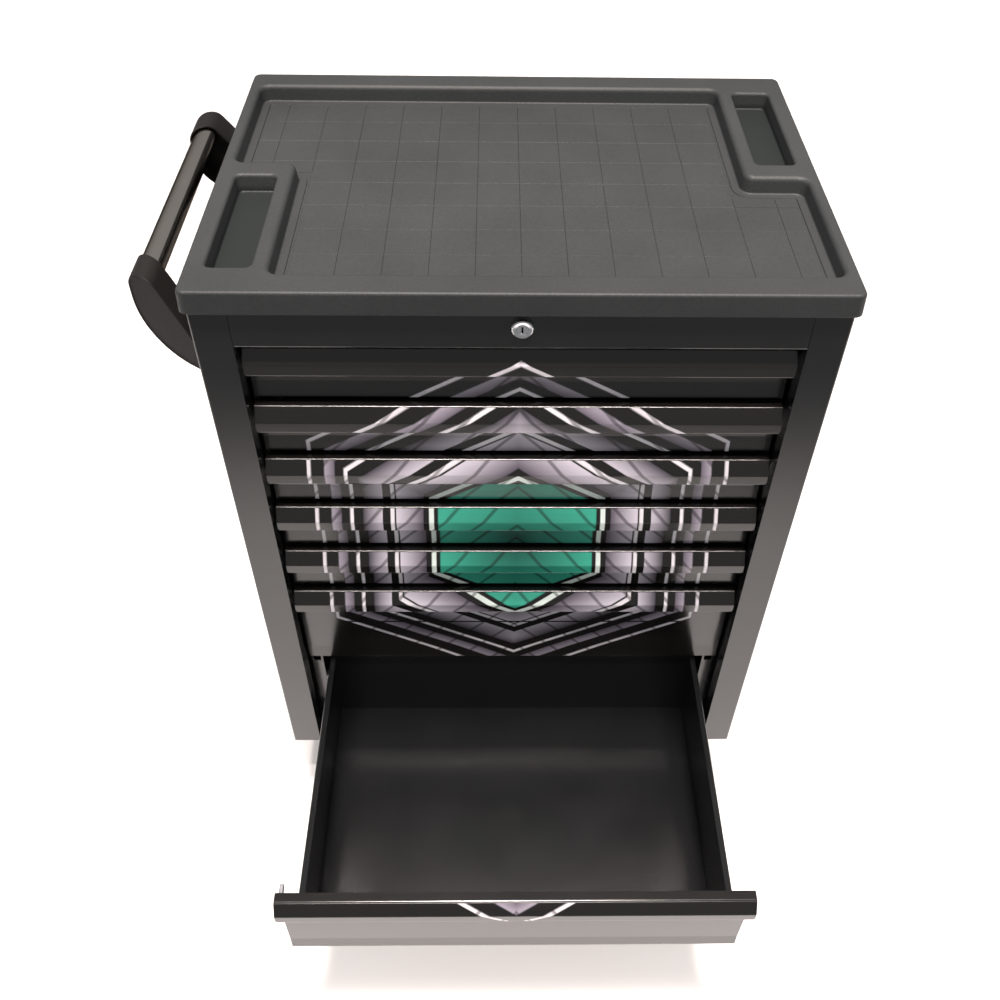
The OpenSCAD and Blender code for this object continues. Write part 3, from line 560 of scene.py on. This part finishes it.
# Key lock: a turned brass housing and plug, polished and chromed. The plug turns a long rod, and the
# crank on its end moves the lock bar up and down behind the drawers.
FACE_D = 23.6
FACE_T = 6.0
BARREL_L = 26.0
PLUG_D = 12.0
PLUG_GAP = 0.05
PLUG_EDGE = 0.2
KEY_W, KEY_H, KEY_DEEP = 2.1, 8.2, 3.0
KEY_SINK = 2.2
SCUFF = 1.2
CHROME = "#dcdde0"
# The face is dished round the plug and rolled over at its rim. Points outwards from the bore or inwards
# from the rim, and back from the face.
DISH = ((0.0, 1.2), (0.4, 0.75))
ROLL = ((2.3, 0.2), (1.8, 0.0), (1.2, 0.3), (0.3, 1.4), (0.0, 2.8))
REAR_EDGE = ((0.0, 0.6), (0.3, 0.0))

bore, rim, face = PLUG_D / 2 + PLUG_GAP, FACE_D / 2, front - FACE_T

# Polished chrome mirrors the room, a little blurred by scuffs. The inside of the key slot is painted near
# black: painted shade in the slot.
chrome, tree, shader, place = surface("polished chrome on brass", Base_Color=srgb(CHROME), Metallic=1.0)
scuff = add(tree, "ShaderNodeTexNoise", {"Vector": place, "Scale": per_metre(SCUFF), "Detail": 4.0})
polish = add(tree, "ShaderNodeMapRange", {"Value": scuff.outputs["Fac"], "To Min": 0.05, "To Max": 0.16})
tree.links.new(polish.outputs["Result"], shader.inputs["Roughness"])
xyz = add(tree, "ShaderNodeSeparateXYZ", {"Vector": place}).outputs
in_slot = 1.0
for axis, middle, size in (("X", 0.0, KEY_W), ("Y", face + KEY_SINK, KEY_DEEP), ("Z", LOCK_Z, KEY_H)):
    within = add(tree, "ShaderNodeMath", {
        0: xyz[axis], 1: middle * MM, 2: size / 2 * MM}, operation="COMPARE").outputs[0]
    in_slot = add(tree, "ShaderNodeMath", {0: within, 1: in_slot}, operation="MULTIPLY").outputs[0]
slot_shade = add(tree, "ShaderNodeMix", {
    "Factor": in_slot, "A": srgb(CHROME), "B": srgb("#1c1814")}, data_type="RGBA")
tree.links.new(slot_shade.outputs["Result"], shader.inputs["Base Color"])

bm = bmesh.new()
profile = [(bore + out, face + back) for out, back in DISH]
profile += [(rim - inwards, face + back) for inwards, back in ROLL]
profile += [(rim - inwards, front - ahead) for inwards, ahead in REAR_EDGE]
profile += [(BARREL_D / 2, front), (BARREL_D / 2, front + BARREL_L), (bore, front + BARREL_L)]
lofted(bm, turned_y((0, 0, LOCK_Z), profile), closed=True)
fit(finished("lock_face", bm, chrome), "cabinet", "lock_chrome", "lock_housing")
dressed("lock_plug", "lock_core", "lock", "lock_chrome", chrome, edge=PLUG_EDGE)
dressed("lock_bar", "lock_bar_strip", "lock_bar", "zinc_steel", zinc_plate)

# Top tray: one injection moulding in dark grey ABS with a fine spark-eroded grain. Its skirt fits over
# the body; the floor has a shallow step round its edge and a grid of fine grooves.
TRAY_W, TRAY_D = 690.0, 484.0
TRAY_LOW, TRAY_TOP = 970.0, 997.0
TRAY_FLOOR = 976.0
TRAY_WALL = 3.0
TRAY_CORNER = 10.0
TRAY_SEAT = 0.1
TRAY_CREASE = 40.0
DRAFT = 1.0
RIM_R = 3.5
SKIRT_INSIDE, SKIRT_OUTSIDE = 0.6, 0.8
RECESS_X, RECESS_Y = 330.0, 206.0
RECESS_CORNER, RECESS_EDGE = 12.0, 6.0
BLOCK_X, BLOCK_Y = 258.0, 15.0
POCKET = ((276.0, 16.0), (323.0, 196.0))
POCKET_CORNER, POCKET_EDGE = 7.0, 4.0
WALL_DRAFT = 1.5
FOOT_R = 2.0
STEP_H = 0.8
STEP_W = 7.0
STEP_SLOPE = 0.8
GROOVE_DEEP = 0.6
ROUND_STEPS = 4
CORNER_STEPS = 6
LEAST_R = 0.3
GRAIN = 2.2
FLOW = 120.0
# Heights above the tray floor between which the painted shade in the pockets fades out.
POCKET_SHADE_LOW, POCKET_SHADE_H = 1.0, 8.0


def outline(corners, radius, grow, z):
    """Loop round a polygon (anticlockwise) with round corners, moved outwards by grow, at one height."""
    count = len(corners)
    points = [Vector(c) for c in corners]
    ways = [(points[(k + 1) % count] - points[k]).normalized() for k in range(count)]
    loop = []
    for k in range(count):
        a, b = ways[k - 1], ways[k]
        turn = math.atan2(a.cross(b), a.dot(b))
        out_a, out_b = Vector((a.y, -a.x)), Vector((b.y, -b.x))
        corner = points[k] + (out_a + out_b) * grow / (1 + out_a.dot(out_b))
        bend = max(radius + (grow if turn > 0 else -grow), LEAST_R)
        start = corner - a * bend * math.tan(abs(turn) / 2)
        centre = start - out_a * math.copysign(bend, turn)
        for j in range(CORNER_STEPS + 1):
            spot = centre + Matrix.Rotation(turn * j / CORNER_STEPS, 2) @ (start - centre)
            loop.append((spot.x, spot.y, z))
    return loop


# Moulded ABS is a dull dark grey, mottled by its grain and by the way the melt ran.
# The real grain is about 0.3 mm; it is drawn at 2.2 mm so that it shows.
abs_grain, tree, shader, place = surface(
    "moulded ABS with fine grain", Base_Color=srgb("#2e3132"), IOR=1.35, Roughness=0.5)
grain = add(tree, "ShaderNodeTexNoise", {"Vector": place, "Scale": per_metre(GRAIN), "Detail": 2.0})
relief = add(tree, "ShaderNodeBump", {
    "Height": grain.outputs["Fac"], "Strength": 0.5, "Distance": 0.0005})
flow = add(tree, "ShaderNodeTexNoise", {"Vector": place, "Scale": per_metre(FLOW), "Detail": 4.0})
half_flow = add(tree, "ShaderNodeMath", {0: flow.outputs["Fac"], 1: 0.5}, operation="MULTIPLY").outputs[0]
mottle = add(tree, "ShaderNodeMath", {
    0: grain.outputs["Fac"], 1: 0.5, 2: half_flow}, operation="MULTIPLY_ADD").outputs[0]
tint = add(tree, "ShaderNodeValToRGB", {"Fac": mottle})
tint.color_ramp.elements[0].color = srgb("#1f2223")
tint.color_ramp.elements[1].color = srgb("#3d3f40")
# The floors of the two pockets are painted darker, fading out up their walls: painted shade in the recesses.
(x0, y0), (x1, y1) = POCKET
xyz = add(tree, "ShaderNodeSeparateXYZ", {"Vector": place}).outputs
product = add(tree, "ShaderNodeMath", {0: xyz["X"], 1: xyz["Y"]}, operation="MULTIPLY").outputs[0]
in_pocket = add(tree, "ShaderNodeMath", {0: product, 1: 0.0}, operation="GREATER_THAN").outputs[0]
for axis, start, end in (("X", x0, x1), ("Y", y0, y1)):
    away = add(tree, "ShaderNodeMath", {0: xyz[axis]}, operation="ABSOLUTE").outputs[0]
    within = add(tree, "ShaderNodeMath", {
        0: away, 1: (start + end) / 2 * MM, 2: (end - start) / 2 * MM}, operation="COMPARE").outputs[0]
    in_pocket = add(tree, "ShaderNodeMath", {0: within, 1: in_pocket}, operation="MULTIPLY").outputs[0]
pocket_shade = add(tree, "ShaderNodeMapRange", {
    "Value": xyz["Z"], "From Min": (TRAY_FLOOR + POCKET_SHADE_LOW) * MM, "From Max": (TRAY_FLOOR + POCKET_SHADE_H) * MM,
    "To Min": in_pocket, "To Max": 0.0})
tint_and_shade = add(tree, "ShaderNodeMix", {
    "Factor": pocket_shade.outputs["Result"], "A": tint.outputs["Color"], "B": srgb("#1b1f1f")}, data_type="RGBA")
tree.links.new(tint_and_shade.outputs["Result"], shader.inputs["Base Color"])
tree.links.new(relief.outputs["Normal"], shader.inputs["Normal"])

half_w, half_d = TRAY_W / 2, TRAY_D / 2
skirt = [(-half_w, -half_d), (half_w, -half_d), (half_w, half_d), (-half_w, half_d)]
recess = [(-BLOCK_X, -RECESS_Y), (RECESS_X, -RECESS_Y), (RECESS_X, -BLOCK_Y), (BLOCK_X, -BLOCK_Y),
          (BLOCK_X, RECESS_Y), (-RECESS_X, RECESS_Y), (-RECESS_X, BLOCK_Y), (-BLOCK_X, BLOCK_Y)]
pockets = [[(x0, y0), (x1, y0), (x1, y1), (x0, y1)], [(-x1, -y1), (-x0, -y1), (-x0, -y0), (-x1, -y0)]]

bm = bmesh.new()
arc = [math.radians(90 * k / ROUND_STEPS) for k in range(ROUND_STEPS + 1)]
rings = [(-TRAY_WALL, BODY_TOP + TRAY_SEAT), (-TRAY_WALL, TRAY_LOW + SKIRT_INSIDE),
         (-TRAY_WALL + SKIRT_INSIDE, TRAY_LOW), (-SKIRT_OUTSIDE, TRAY_LOW), (0.0, TRAY_LOW + SKIRT_OUTSIDE)]
rings += [(-DRAFT - RIM_R + RIM_R * math.cos(a), TRAY_TOP - RIM_R + RIM_R * math.sin(a)) for a in arc]
loops = lofted(bm, [outline(skirt, TRAY_CORNER, grow, z) for grow, z in rings])
bm.faces.new(loops[0])
rim_edges = [loops[-1]]


def sunk(corners, corner_r, edge_r, foot_z):
    """Skin of a sunk compartment with round top edge, sloping wall and round foot; gives its lowest loop."""
    rings = [(edge_r - edge_r * math.sin(a), TRAY_TOP - edge_r + edge_r * math.cos(a)) for a in arc]
    rings += [(-WALL_DRAFT - FOOT_R + FOOT_R * math.cos(a), foot_z + FOOT_R - FOOT_R * math.sin(a))
              for a in arc]
    made = lofted(bm, [outline(corners, corner_r, grow, z) for grow, z in rings])
    rim_edges.append(made[0])
    return made[-1]


foot = sunk(recess, RECESS_CORNER, RECESS_EDGE, TRAY_FLOOR + STEP_H)
inset = -WALL_DRAFT - FOOT_R - STEP_W
floor_inset = inset - STEP_SLOPE
step = [(inset, TRAY_FLOOR + STEP_H), (floor_inset, TRAY_FLOOR - GROOVE_DEEP)]
loops = lofted(bm, [[v.co.copy() for v in foot]] + [
    outline(recess, RECESS_CORNER, grow, z) for grow, z in step])
floor_edges = [loops[-1]]
for corners in pockets:
    floor_edges.append(sunk(corners, POCKET_CORNER, POCKET_EDGE, TRAY_FLOOR))
for group in [rim_edges] + [[loop] for loop in floor_edges]:
    edges = []
    for loop in group:
        for k in range(len(loop)):
            pair = (loop[k], loop[(k + 1) % len(loop)])
            edges.append(bm.edges.get(pair) or bm.edges.new(pair))
    bmesh.ops.triangle_fill(bm, edges=edges, use_beauty=True)
fit(finished("tray_moulding", bm, abs_grain, crease=TRAY_CREASE), "cabinet", "tray_plastic", "top_tray")

# Tray floor: flat panels of the same ABS, moulded in one piece with the tray. They stand up between the
# grooves of a square grid, with edges that slope so that they leave the mould.
GRID_PITCH = 48.9
GRID_Y = 4.0
GRID_SIDE = 5
GROOVE_SHARE = 0.02
LEAST_STRIP = 1.0


def panel_tree():
    """Node tree that puts a flat panel with sloping edges at every point, as large as the point's span."""
    tree, given = point_tree("raised panels", (("Groove Share", "Float"),))
    wide = math.sqrt(0.5)
    top = add(tree, "ShaderNodeMath", {0: given["Groove Share"], 1: -wide, 2: wide}, operation="MULTIPLY_ADD")
    block = add(tree, "GeometryNodeMeshCone", {
        "Vertices": 4, "Radius Top": top.outputs[0], "Radius Bottom": wide, "Depth": 1.0})
    square = add(tree, "GeometryNodeTransform", {
        "Geometry": block.outputs["Mesh"], "Rotation": (0.0, 0.0, math.pi / 4)})
    span = add(tree, "GeometryNodeInputNamedAttribute", {"Name": "span"}, data_type="FLOAT_VECTOR")
    return on_points(tree, given, {
        "Instance": square.outputs["Geometry"], "Scale": span.outputs["Attribute"]})


def strips(low, high, offset):
    """Stretches between the grid lines from low to high."""
    first = math.floor((low - offset) / GRID_PITCH) + 1
    last = math.ceil((high - offset) / GRID_PITCH)
    lines = [low] + [offset + GRID_PITCH * k for k in range(first, last)] + [high]
    return [(a, b) for a, b in zip(lines, lines[1:]) if b - a > LEAST_STRIP]


raised_panels = panel_tree()
line_x = GRID_PITCH * GRID_SIDE
far_x, far_y, near_y = RECESS_X + floor_inset, RECESS_Y + floor_inset, BLOCK_Y - floor_inset
fields = [(-line_x, line_x, -far_y, far_y), (line_x, far_x, -far_y, -near_y),
          (-far_x, -line_x, near_y, far_y)]
points, spans = [], []
for left, right, near, far in fields:
    for xa, xb in strips(left, right, 0.0):
        for ya, yb in strips(near, far, GRID_Y):
            points.append(((xa + xb) / 2, (ya + yb) / 2, TRAY_FLOOR - GROOVE_DEEP))
            spans.append((xb - xa, yb - ya, GROOVE_DEEP))
panels = grown("tray_floor_panels", raised_panels, points, {
    "Groove Share": GROOVE_SHARE, "Finish": abs_grain}, spans)
fit(panels, "cabinet", "tray_plastic")

# Push handle: a steel tube between two curved brackets moulded in glass-filled nylon, each held to the
# left side by two socket screws from inside its foot.
TUBE_X, TUBE_Z = -397.0, 956.0
TUBE_D = 27.0
TUBE_WALL = 2.0
TUBE_EDGE = 0.5
TUBE_END = 165.5
SOCKET_R = 17.1
BRACKET_Y = 161.5
BRACKET_HALF = 20.0
BRACKET_STEPS = 16
BRACKET_CREASE = 50.0
SPLAY = math.tan(math.radians(26))
BEND_Z = 940.0
ARM_R = 74.1
FOOT_X = -349.0
FOOT_TOP = 907.9
FOOT_DROP = 0.5
SHELL = 2.2
HOLLOW = 25.0
SPECK = 1.4
RUB = 25.0
# From the rounded outer face to the floor of the hollow inside: how far each ring is drawn in, where it
# lies across the bracket, and how far its foot stops short of the body.
SECTION = (
    (2.6, 0.8 - BRACKET_HALF, 0.0), (1.8, -BRACKET_HALF, 0.0), (0.8, 0.2 - BRACKET_HALF, 0.0),
    (0.0, 1.2 - BRACKET_HALF, 0.0), (0.0, BRACKET_HALF - 0.6, 0.0), (0.6, BRACKET_HALF, 0.0),
    (SHELL - 0.6, BRACKET_HALF, 8.4), (SHELL, BRACKET_HALF - 0.6, 9.0), (SHELL, BRACKET_HALF - HOLLOW, 9.0))

# Glass-filled nylon is nearly black and dull, with a fine speck where the fibres come to the surface.
nylon, tree, shader, place = surface("moulded nylon", Base_Color=srgb("#171615"), Roughness=0.5, IOR=1.3)
speck = add(tree, "ShaderNodeTexNoise", {"Vector": place, "Scale": per_metre(SPECK), "Detail": 2.0})
relief = add(tree, "ShaderNodeBump", {
    "Height": speck.outputs["Fac"], "Strength": 0.15, "Distance": 0.0003})
shine = add(tree, "ShaderNodeMapRange", {"Value": speck.outputs["Fac"], "To Min": 0.46, "To Max": 0.58})
tree.links.new(relief.outputs["Normal"], shader.inputs["Normal"])
tree.links.new(shine.outputs["Result"], shader.inputs["Roughness"])


def arc_points(centre, radius, start, end):
    """Points along an arc, with angles in degrees."""
    angles = [math.radians(start + (end - start) * k / BRACKET_STEPS) for k in range(BRACKET_STEPS + 1)]
    return [(centre[0] + radius * math.cos(a), centre[1] + radius * math.sin(a)) for a in angles]


def bracket_loop(inset, end_x):
    """Outline of a bracket in X and Z, drawn in by inset and closed towards the body at end_x."""
    lean = math.atan2(FOOT_TOP - TUBE_Z, FOOT_X - TUBE_X)
    touch = lean + math.acos(SOCKET_R / math.hypot(FOOT_TOP - TUBE_Z, FOOT_X - TUBE_X))
    start = 360 - math.degrees(math.acos((end_x + BODY_HALF_W) / (ARM_R - inset)))
    loop = arc_points((-BODY_HALF_W, BEND_Z), ARM_R - inset, start, 180)
    loop += arc_points((TUBE_X, TUBE_Z), SOCKET_R - inset, 180, math.degrees(touch))
    x, z = loop[-1]
    foot_x = min(FOOT_X, end_x)
    z += (foot_x - x) * math.tan(touch - math.pi / 2)
    return loop + [(foot_x, z), (end_x, z if end_x > foot_x else z - FOOT_DROP)]


for name, side, stands_for in (("front", -1, ["handle_brackets"]), ("rear", 1, [])):
    rings = []
    for inset, depth, foot in SECTION:
        loop = bracket_loop(inset, -BODY_HALF_W - foot)
        rings.append([(x, side * (BRACKET_Y - depth + SPLAY * (x - TUBE_X)), z) for x, z in loop])
    bm = bmesh.new()
    lofted(bm, rings, caps=True)
    bracket = finished(f"handle_bracket_{name}", bm, nylon, crease=BRACKET_CREASE)
    fit(bracket, "cabinet", "handle_plastic", *stands_for)

# The tube's metallic grey coat mirrors the room softly, darker towards its edges and duller where hands rub.
tube_coat, tree, shader, place = surface(
    "metallic grey coat on steel tube", Base_Color=srgb("#cfc7bf"), Metallic=1.0,
    Specular_Tint=srgb("#2a2928"))
rub = add(tree, "ShaderNodeTexNoise", {"Vector": place, "Scale": per_metre(RUB), "Detail": 5.0})
polish = add(tree, "ShaderNodeMapRange", {"Value": rub.outputs["Fac"], "To Min": 0.1, "To Max": 0.22})
tree.links.new(polish.outputs["Result"], shader.inputs["Roughness"])
bm = bmesh.new()
outside, inside = TUBE_D / 2, TUBE_D / 2 - TUBE_WALL
lofted(bm, turned_y((TUBE_X, 0, TUBE_Z), [
    (inside, -TUBE_END), (outside - TUBE_EDGE, -TUBE_END), (outside, -TUBE_END + TUBE_EDGE),
    (outside, TUBE_END - TUBE_EDGE), (outside - TUBE_EDGE, TUBE_END), (inside, TUBE_END)]), closed=True)
fit(finished("handle_bar", bm, tube_coat), "cabinet", "handle_steel", "handle_tube")

# Casters: zinc-plated pressed brackets, two fixed on the right and two swivelling with brake pedals on
# the left. Solid rubber tyres on grey polypropylene cores turn on bolt axles.
CASTER_X, CASTER_Y = 262.0, 175.0
WHEEL_LEFT_X = -227.0
AXLE_Z = 50.0
WHEEL_R, WHEEL_HALF = 50.0, 15.0
WHEEL_SIDES = 72
BORE_R = 5.05
HUB_R, HUB_HALF = 13.0, 16.0
RIM_IN = 37.0
WEB_HALF = 8.0
# Half sections of tyre and core: radius, and distance from the middle of the wheel.
TYRE = ((RIM_IN, 12.0), (RIM_IN + 1.5, 14.5), (WHEEL_R - 5.0, WHEEL_HALF), (WHEEL_R - 2.0, 13.4),
        (WHEEL_R - 0.5, 10.5), (WHEEL_R, 7.0))
CORE = ((BORE_R, HUB_HALF), (HUB_R - 1.0, HUB_HALF), (HUB_R, HUB_HALF - 1.0), (HUB_R + 1.0, WEB_HALF),
        (RIM_IN - 4.0, WEB_HALF), (RIM_IN - 2.5, 13.0), (RIM_IN, 13.2))
WHEELS = {"left_front": (WHEEL_LEFT_X, -CASTER_Y), "left_rear": (WHEEL_LEFT_X, CASTER_Y),
          "right_front": (CASTER_X, -CASTER_Y), "right_rear": (CASTER_X, CASTER_Y)}
PLATE_EDGE, AXLE_EDGE, PEDAL_EDGE = 0.8, 0.6, 1.2
PLATE_LOW = 127.0
BOLT_X, BOLT_Y = 38.0, 29.0
BOLT_HEAD, BOLT_RISE, BOLT_WASHER, BOLT_SIDES = 13.0, 5.0, 18.0, 6
DOWN = (math.pi, 0.0, 0.0)
PEDAL_X, PEDAL_TOP, PEDAL_L, PEDAL_W = -186.7, 94.3, 32.0, 32.0
RIBS, RIB_SPACES, RIB_START = 6, 9, 2.5
RIB_W, RIB_RISE, RIB_MARGIN, RIB_SEAT = 1.8, 1.1, 4.0, 0.1
RIB_SLOPE = 0.3
DUST = 9.0
CLOUD = 2.0

# Rubber is a dull dark grey that dust makes paler in patches.
rubber, tree, shader, place = surface("solid grey rubber", Base_Color=srgb("#3b3b3d"), Roughness=0.7)
dust = add(tree, "ShaderNodeTexNoise", {"Vector": place, "Scale": per_metre(DUST), "Detail": 5.0})
worn = add(tree, "ShaderNodeValToRGB", {"Fac": dust.outputs["Fac"]})
worn.color_ramp.elements[0].color = srgb("#333335")
worn.color_ramp.elements[1].color = srgb("#4a4a4b")
tree.links.new(worn.outputs["Color"], shader.inputs["Base Color"])

# Polypropylene is a waxy mid grey with a faint ripple from its mould.
poly_core, tree, shader, place = surface(
    "moulded polypropylene core", Base_Color=srgb("#77797b"), Roughness=0.42)
cloud = add(tree, "ShaderNodeTexNoise", {"Vector": place, "Scale": per_metre(CLOUD), "Detail": 2.0})
relief = add(tree, "ShaderNodeBump", {
    "Height": cloud.outputs["Fac"], "Strength": 0.1, "Distance": 0.0003})
tree.links.new(relief.outputs["Normal"], shader.inputs["Normal"])

for name, (x, y) in WHEELS.items():
    wheel = f"wheel_{name}"
    for part, half, material, stands_for in (
            ("tyre", TYRE, rubber, [wheel]), ("wheel_core", CORE, poly_core, [])):
        bm = bmesh.new()
        profile = [*half, *((r, -d) for r, d in reversed(half))]
        lofted(bm, turned_y((x, y, AXLE_Z), profile, WHEEL_SIDES), closed=True)
        fit(finished(f"{part}_{name}", bm, material), wheel, "wheel_rubber", *stands_for)

dressed("fixed_caster_brackets", "fixed_brackets", "cabinet", "zinc_steel", zinc_plate, edge=PLATE_EDGE)
dressed("fixed_axles", "fixed_axle_bolts", "cabinet", "zinc_steel", zinc_plate, edge=AXLE_EDGE)
dressed("swivel_plates", "swivel_top_plates", "cabinet", "zinc_steel", zinc_plate, edge=PLATE_EDGE)
bolts = [(sx * CASTER_X + bx, sy * CASTER_Y + by, PLATE_LOW) for sx in (-1, 1) for sy in (-1, 1)
         for bx in (-BOLT_X, BOLT_X) for by in (-BOLT_Y, BOLT_Y)]
heads("caster_bolts", bolts, "cabinet", "zinc_steel", zinc_plate, DOWN,
      head=BOLT_HEAD, rise=BOLT_RISE, washer=BOLT_WASHER, sides=BOLT_SIDES)
for end, y in (("front", -CASTER_Y), ("rear", CASTER_Y)):
    caster = f"caster_{end}"
    dressed(f"swivel_fork_{end}", f"fork_{end}", caster, "zinc_steel", zinc_plate, edge=PLATE_EDGE)
    dressed(f"swivel_axle_{end}", f"fork_bolt_{end}", caster, "zinc_steel", zinc_plate, edge=AXLE_EDGE)
    dressed(f"brake_pedal_{end}", f"pedal_{end}", f"brake_{end}", "pedal_plastic", nylon, edge=PEDAL_EDGE)
    ribs = [(PEDAL_X + PEDAL_L * (k + RIB_START) / RIB_SPACES, y, PEDAL_TOP - RIB_SEAT) for k in range(RIBS)]
    grip = grown(f"pedal_ribs_{end}", raised_panels, ribs, {"Groove Share": RIB_SLOPE, "Finish": nylon},
                 [(RIB_W, PEDAL_W - RIB_MARGIN, RIB_RISE)] * RIBS)
    fit(grip, f"brake_{end}", "pedal_plastic")

# Studio: a wide floor of white background paper in a pale surround. A large gridded panel hangs
# overhead, a narrow softbox above the front, and a low wash lights the floor ahead.
FLOOR_HALF = 12000.0
PULP = 3.0
SURROUND = 0.32
LAMP_COLOUR = (1.0, 0.9, 0.85)
# Name, size, place and aim in metres, power in watts, spread in degrees.
LIGHTS = (
    ("overhead_panel", (5.0, 5.0), (0.0, 1.51, 3.0), (0.0, 1.51, 0.0), 112.0, 12),
    ("front_softbox", (2.4, 0.12), (0.0, -0.8, 2.7), (0.0, 0.0, 0.9), 10.0, 40),
    ("floor_wash", (1.2, 0.3), (0.0, -1.7, 1.1), (0.0, -0.62, 0.0), 2.0, 30),
)

# Background paper is matt white, with a trace of its pulp.
floor_paper, tree, shader, place = surface(
    "white background paper", Base_Color=srgb("#f4f4f4"), Roughness=0.8)
pulp = add(tree, "ShaderNodeTexNoise", {"Vector": place, "Scale": per_metre(PULP), "Detail": 2.0})
relief = add(tree, "ShaderNodeBump", {
    "Height": pulp.outputs["Fac"], "Strength": 0.02, "Distance": 0.0002})
tree.links.new(relief.outputs["Normal"], shader.inputs["Normal"])
bm = bmesh.new()
bmesh.ops.create_grid(bm, x_segments=1, y_segments=1, size=FLOOR_HALF)
finished("floor", bm, floor_paper)

world = bpy.data.worlds.new("pale surround")
bpy.context.scene.world = world
world.use_nodes = True
backdrop = world.node_tree.nodes["Background"]
backdrop.inputs["Color"].default_value = (1.0, 1.0, 1.0, 1.0)
backdrop.inputs["Strength"].default_value = SURROUND

for name, size, spot, aim, watts, spread in LIGHTS:
    panel = bpy.data.lights.new(name, "AREA")
    panel.shape = "RECTANGLE"
    panel.size, panel.size_y = size
    panel.energy = watts
    panel.spread = math.radians(spread)
    panel.color = LAMP_COLOUR
    lamp = bpy.data.objects.new(name, panel)
    lamp.location = spot
    lamp.rotation_euler = (Vector(aim) - Vector(spot)).to_track_quat("-Z", "Y").to_euler()
    bpy.context.collection.objects.link(lamp)

# Camera: a short standard lens above the front, tilted down at the tray and the open drawer. Its place,
# its angles and its focal length come from the straight edges of the cabinet in the photograph.
FOCAL_PX = 1041.17
CENTRE_PX = (514.26, 437.91)
FRAME_PX = 1000.0
CAMERA_AT = (-0.02733, -1.07524, 1.61011)
YAW, PITCH, TILT = 1.45, 44.16, 1.17

yaw, pitch, tilt = (math.radians(v) for v in (YAW, PITCH, TILT))
ahead = Vector((math.sin(yaw) * math.cos(pitch), math.cos(yaw) * math.cos(pitch), -math.sin(pitch)))
right = Vector((math.cos(yaw), -math.sin(yaw), 0.0))
up = right.cross(ahead)
right, up = (math.cos(tilt) * right + math.sin(tilt) * up, -math.sin(tilt) * right + math.cos(tilt) * up)
lens = bpy.data.cameras.new("front_above")
lens.sensor_width = 36.0
lens.lens = FOCAL_PX / FRAME_PX * lens.sensor_width
lens.shift_x = (FRAME_PX / 2 - CENTRE_PX[0]) / FRAME_PX
lens.shift_y = (CENTRE_PX[1] - FRAME_PX / 2) / FRAME_PX
camera = bpy.data.objects.new("front_above", lens)
turn = Matrix((right, up, -ahead)).transposed().to_4x4()
camera.matrix_world = Matrix.Translation(CAMERA_AT) @ turn
bpy.context.collection.objects.link(camera)
bpy.context.scene.camera = camera
bpy.context.scene.view_settings.view_transform = "Standard"
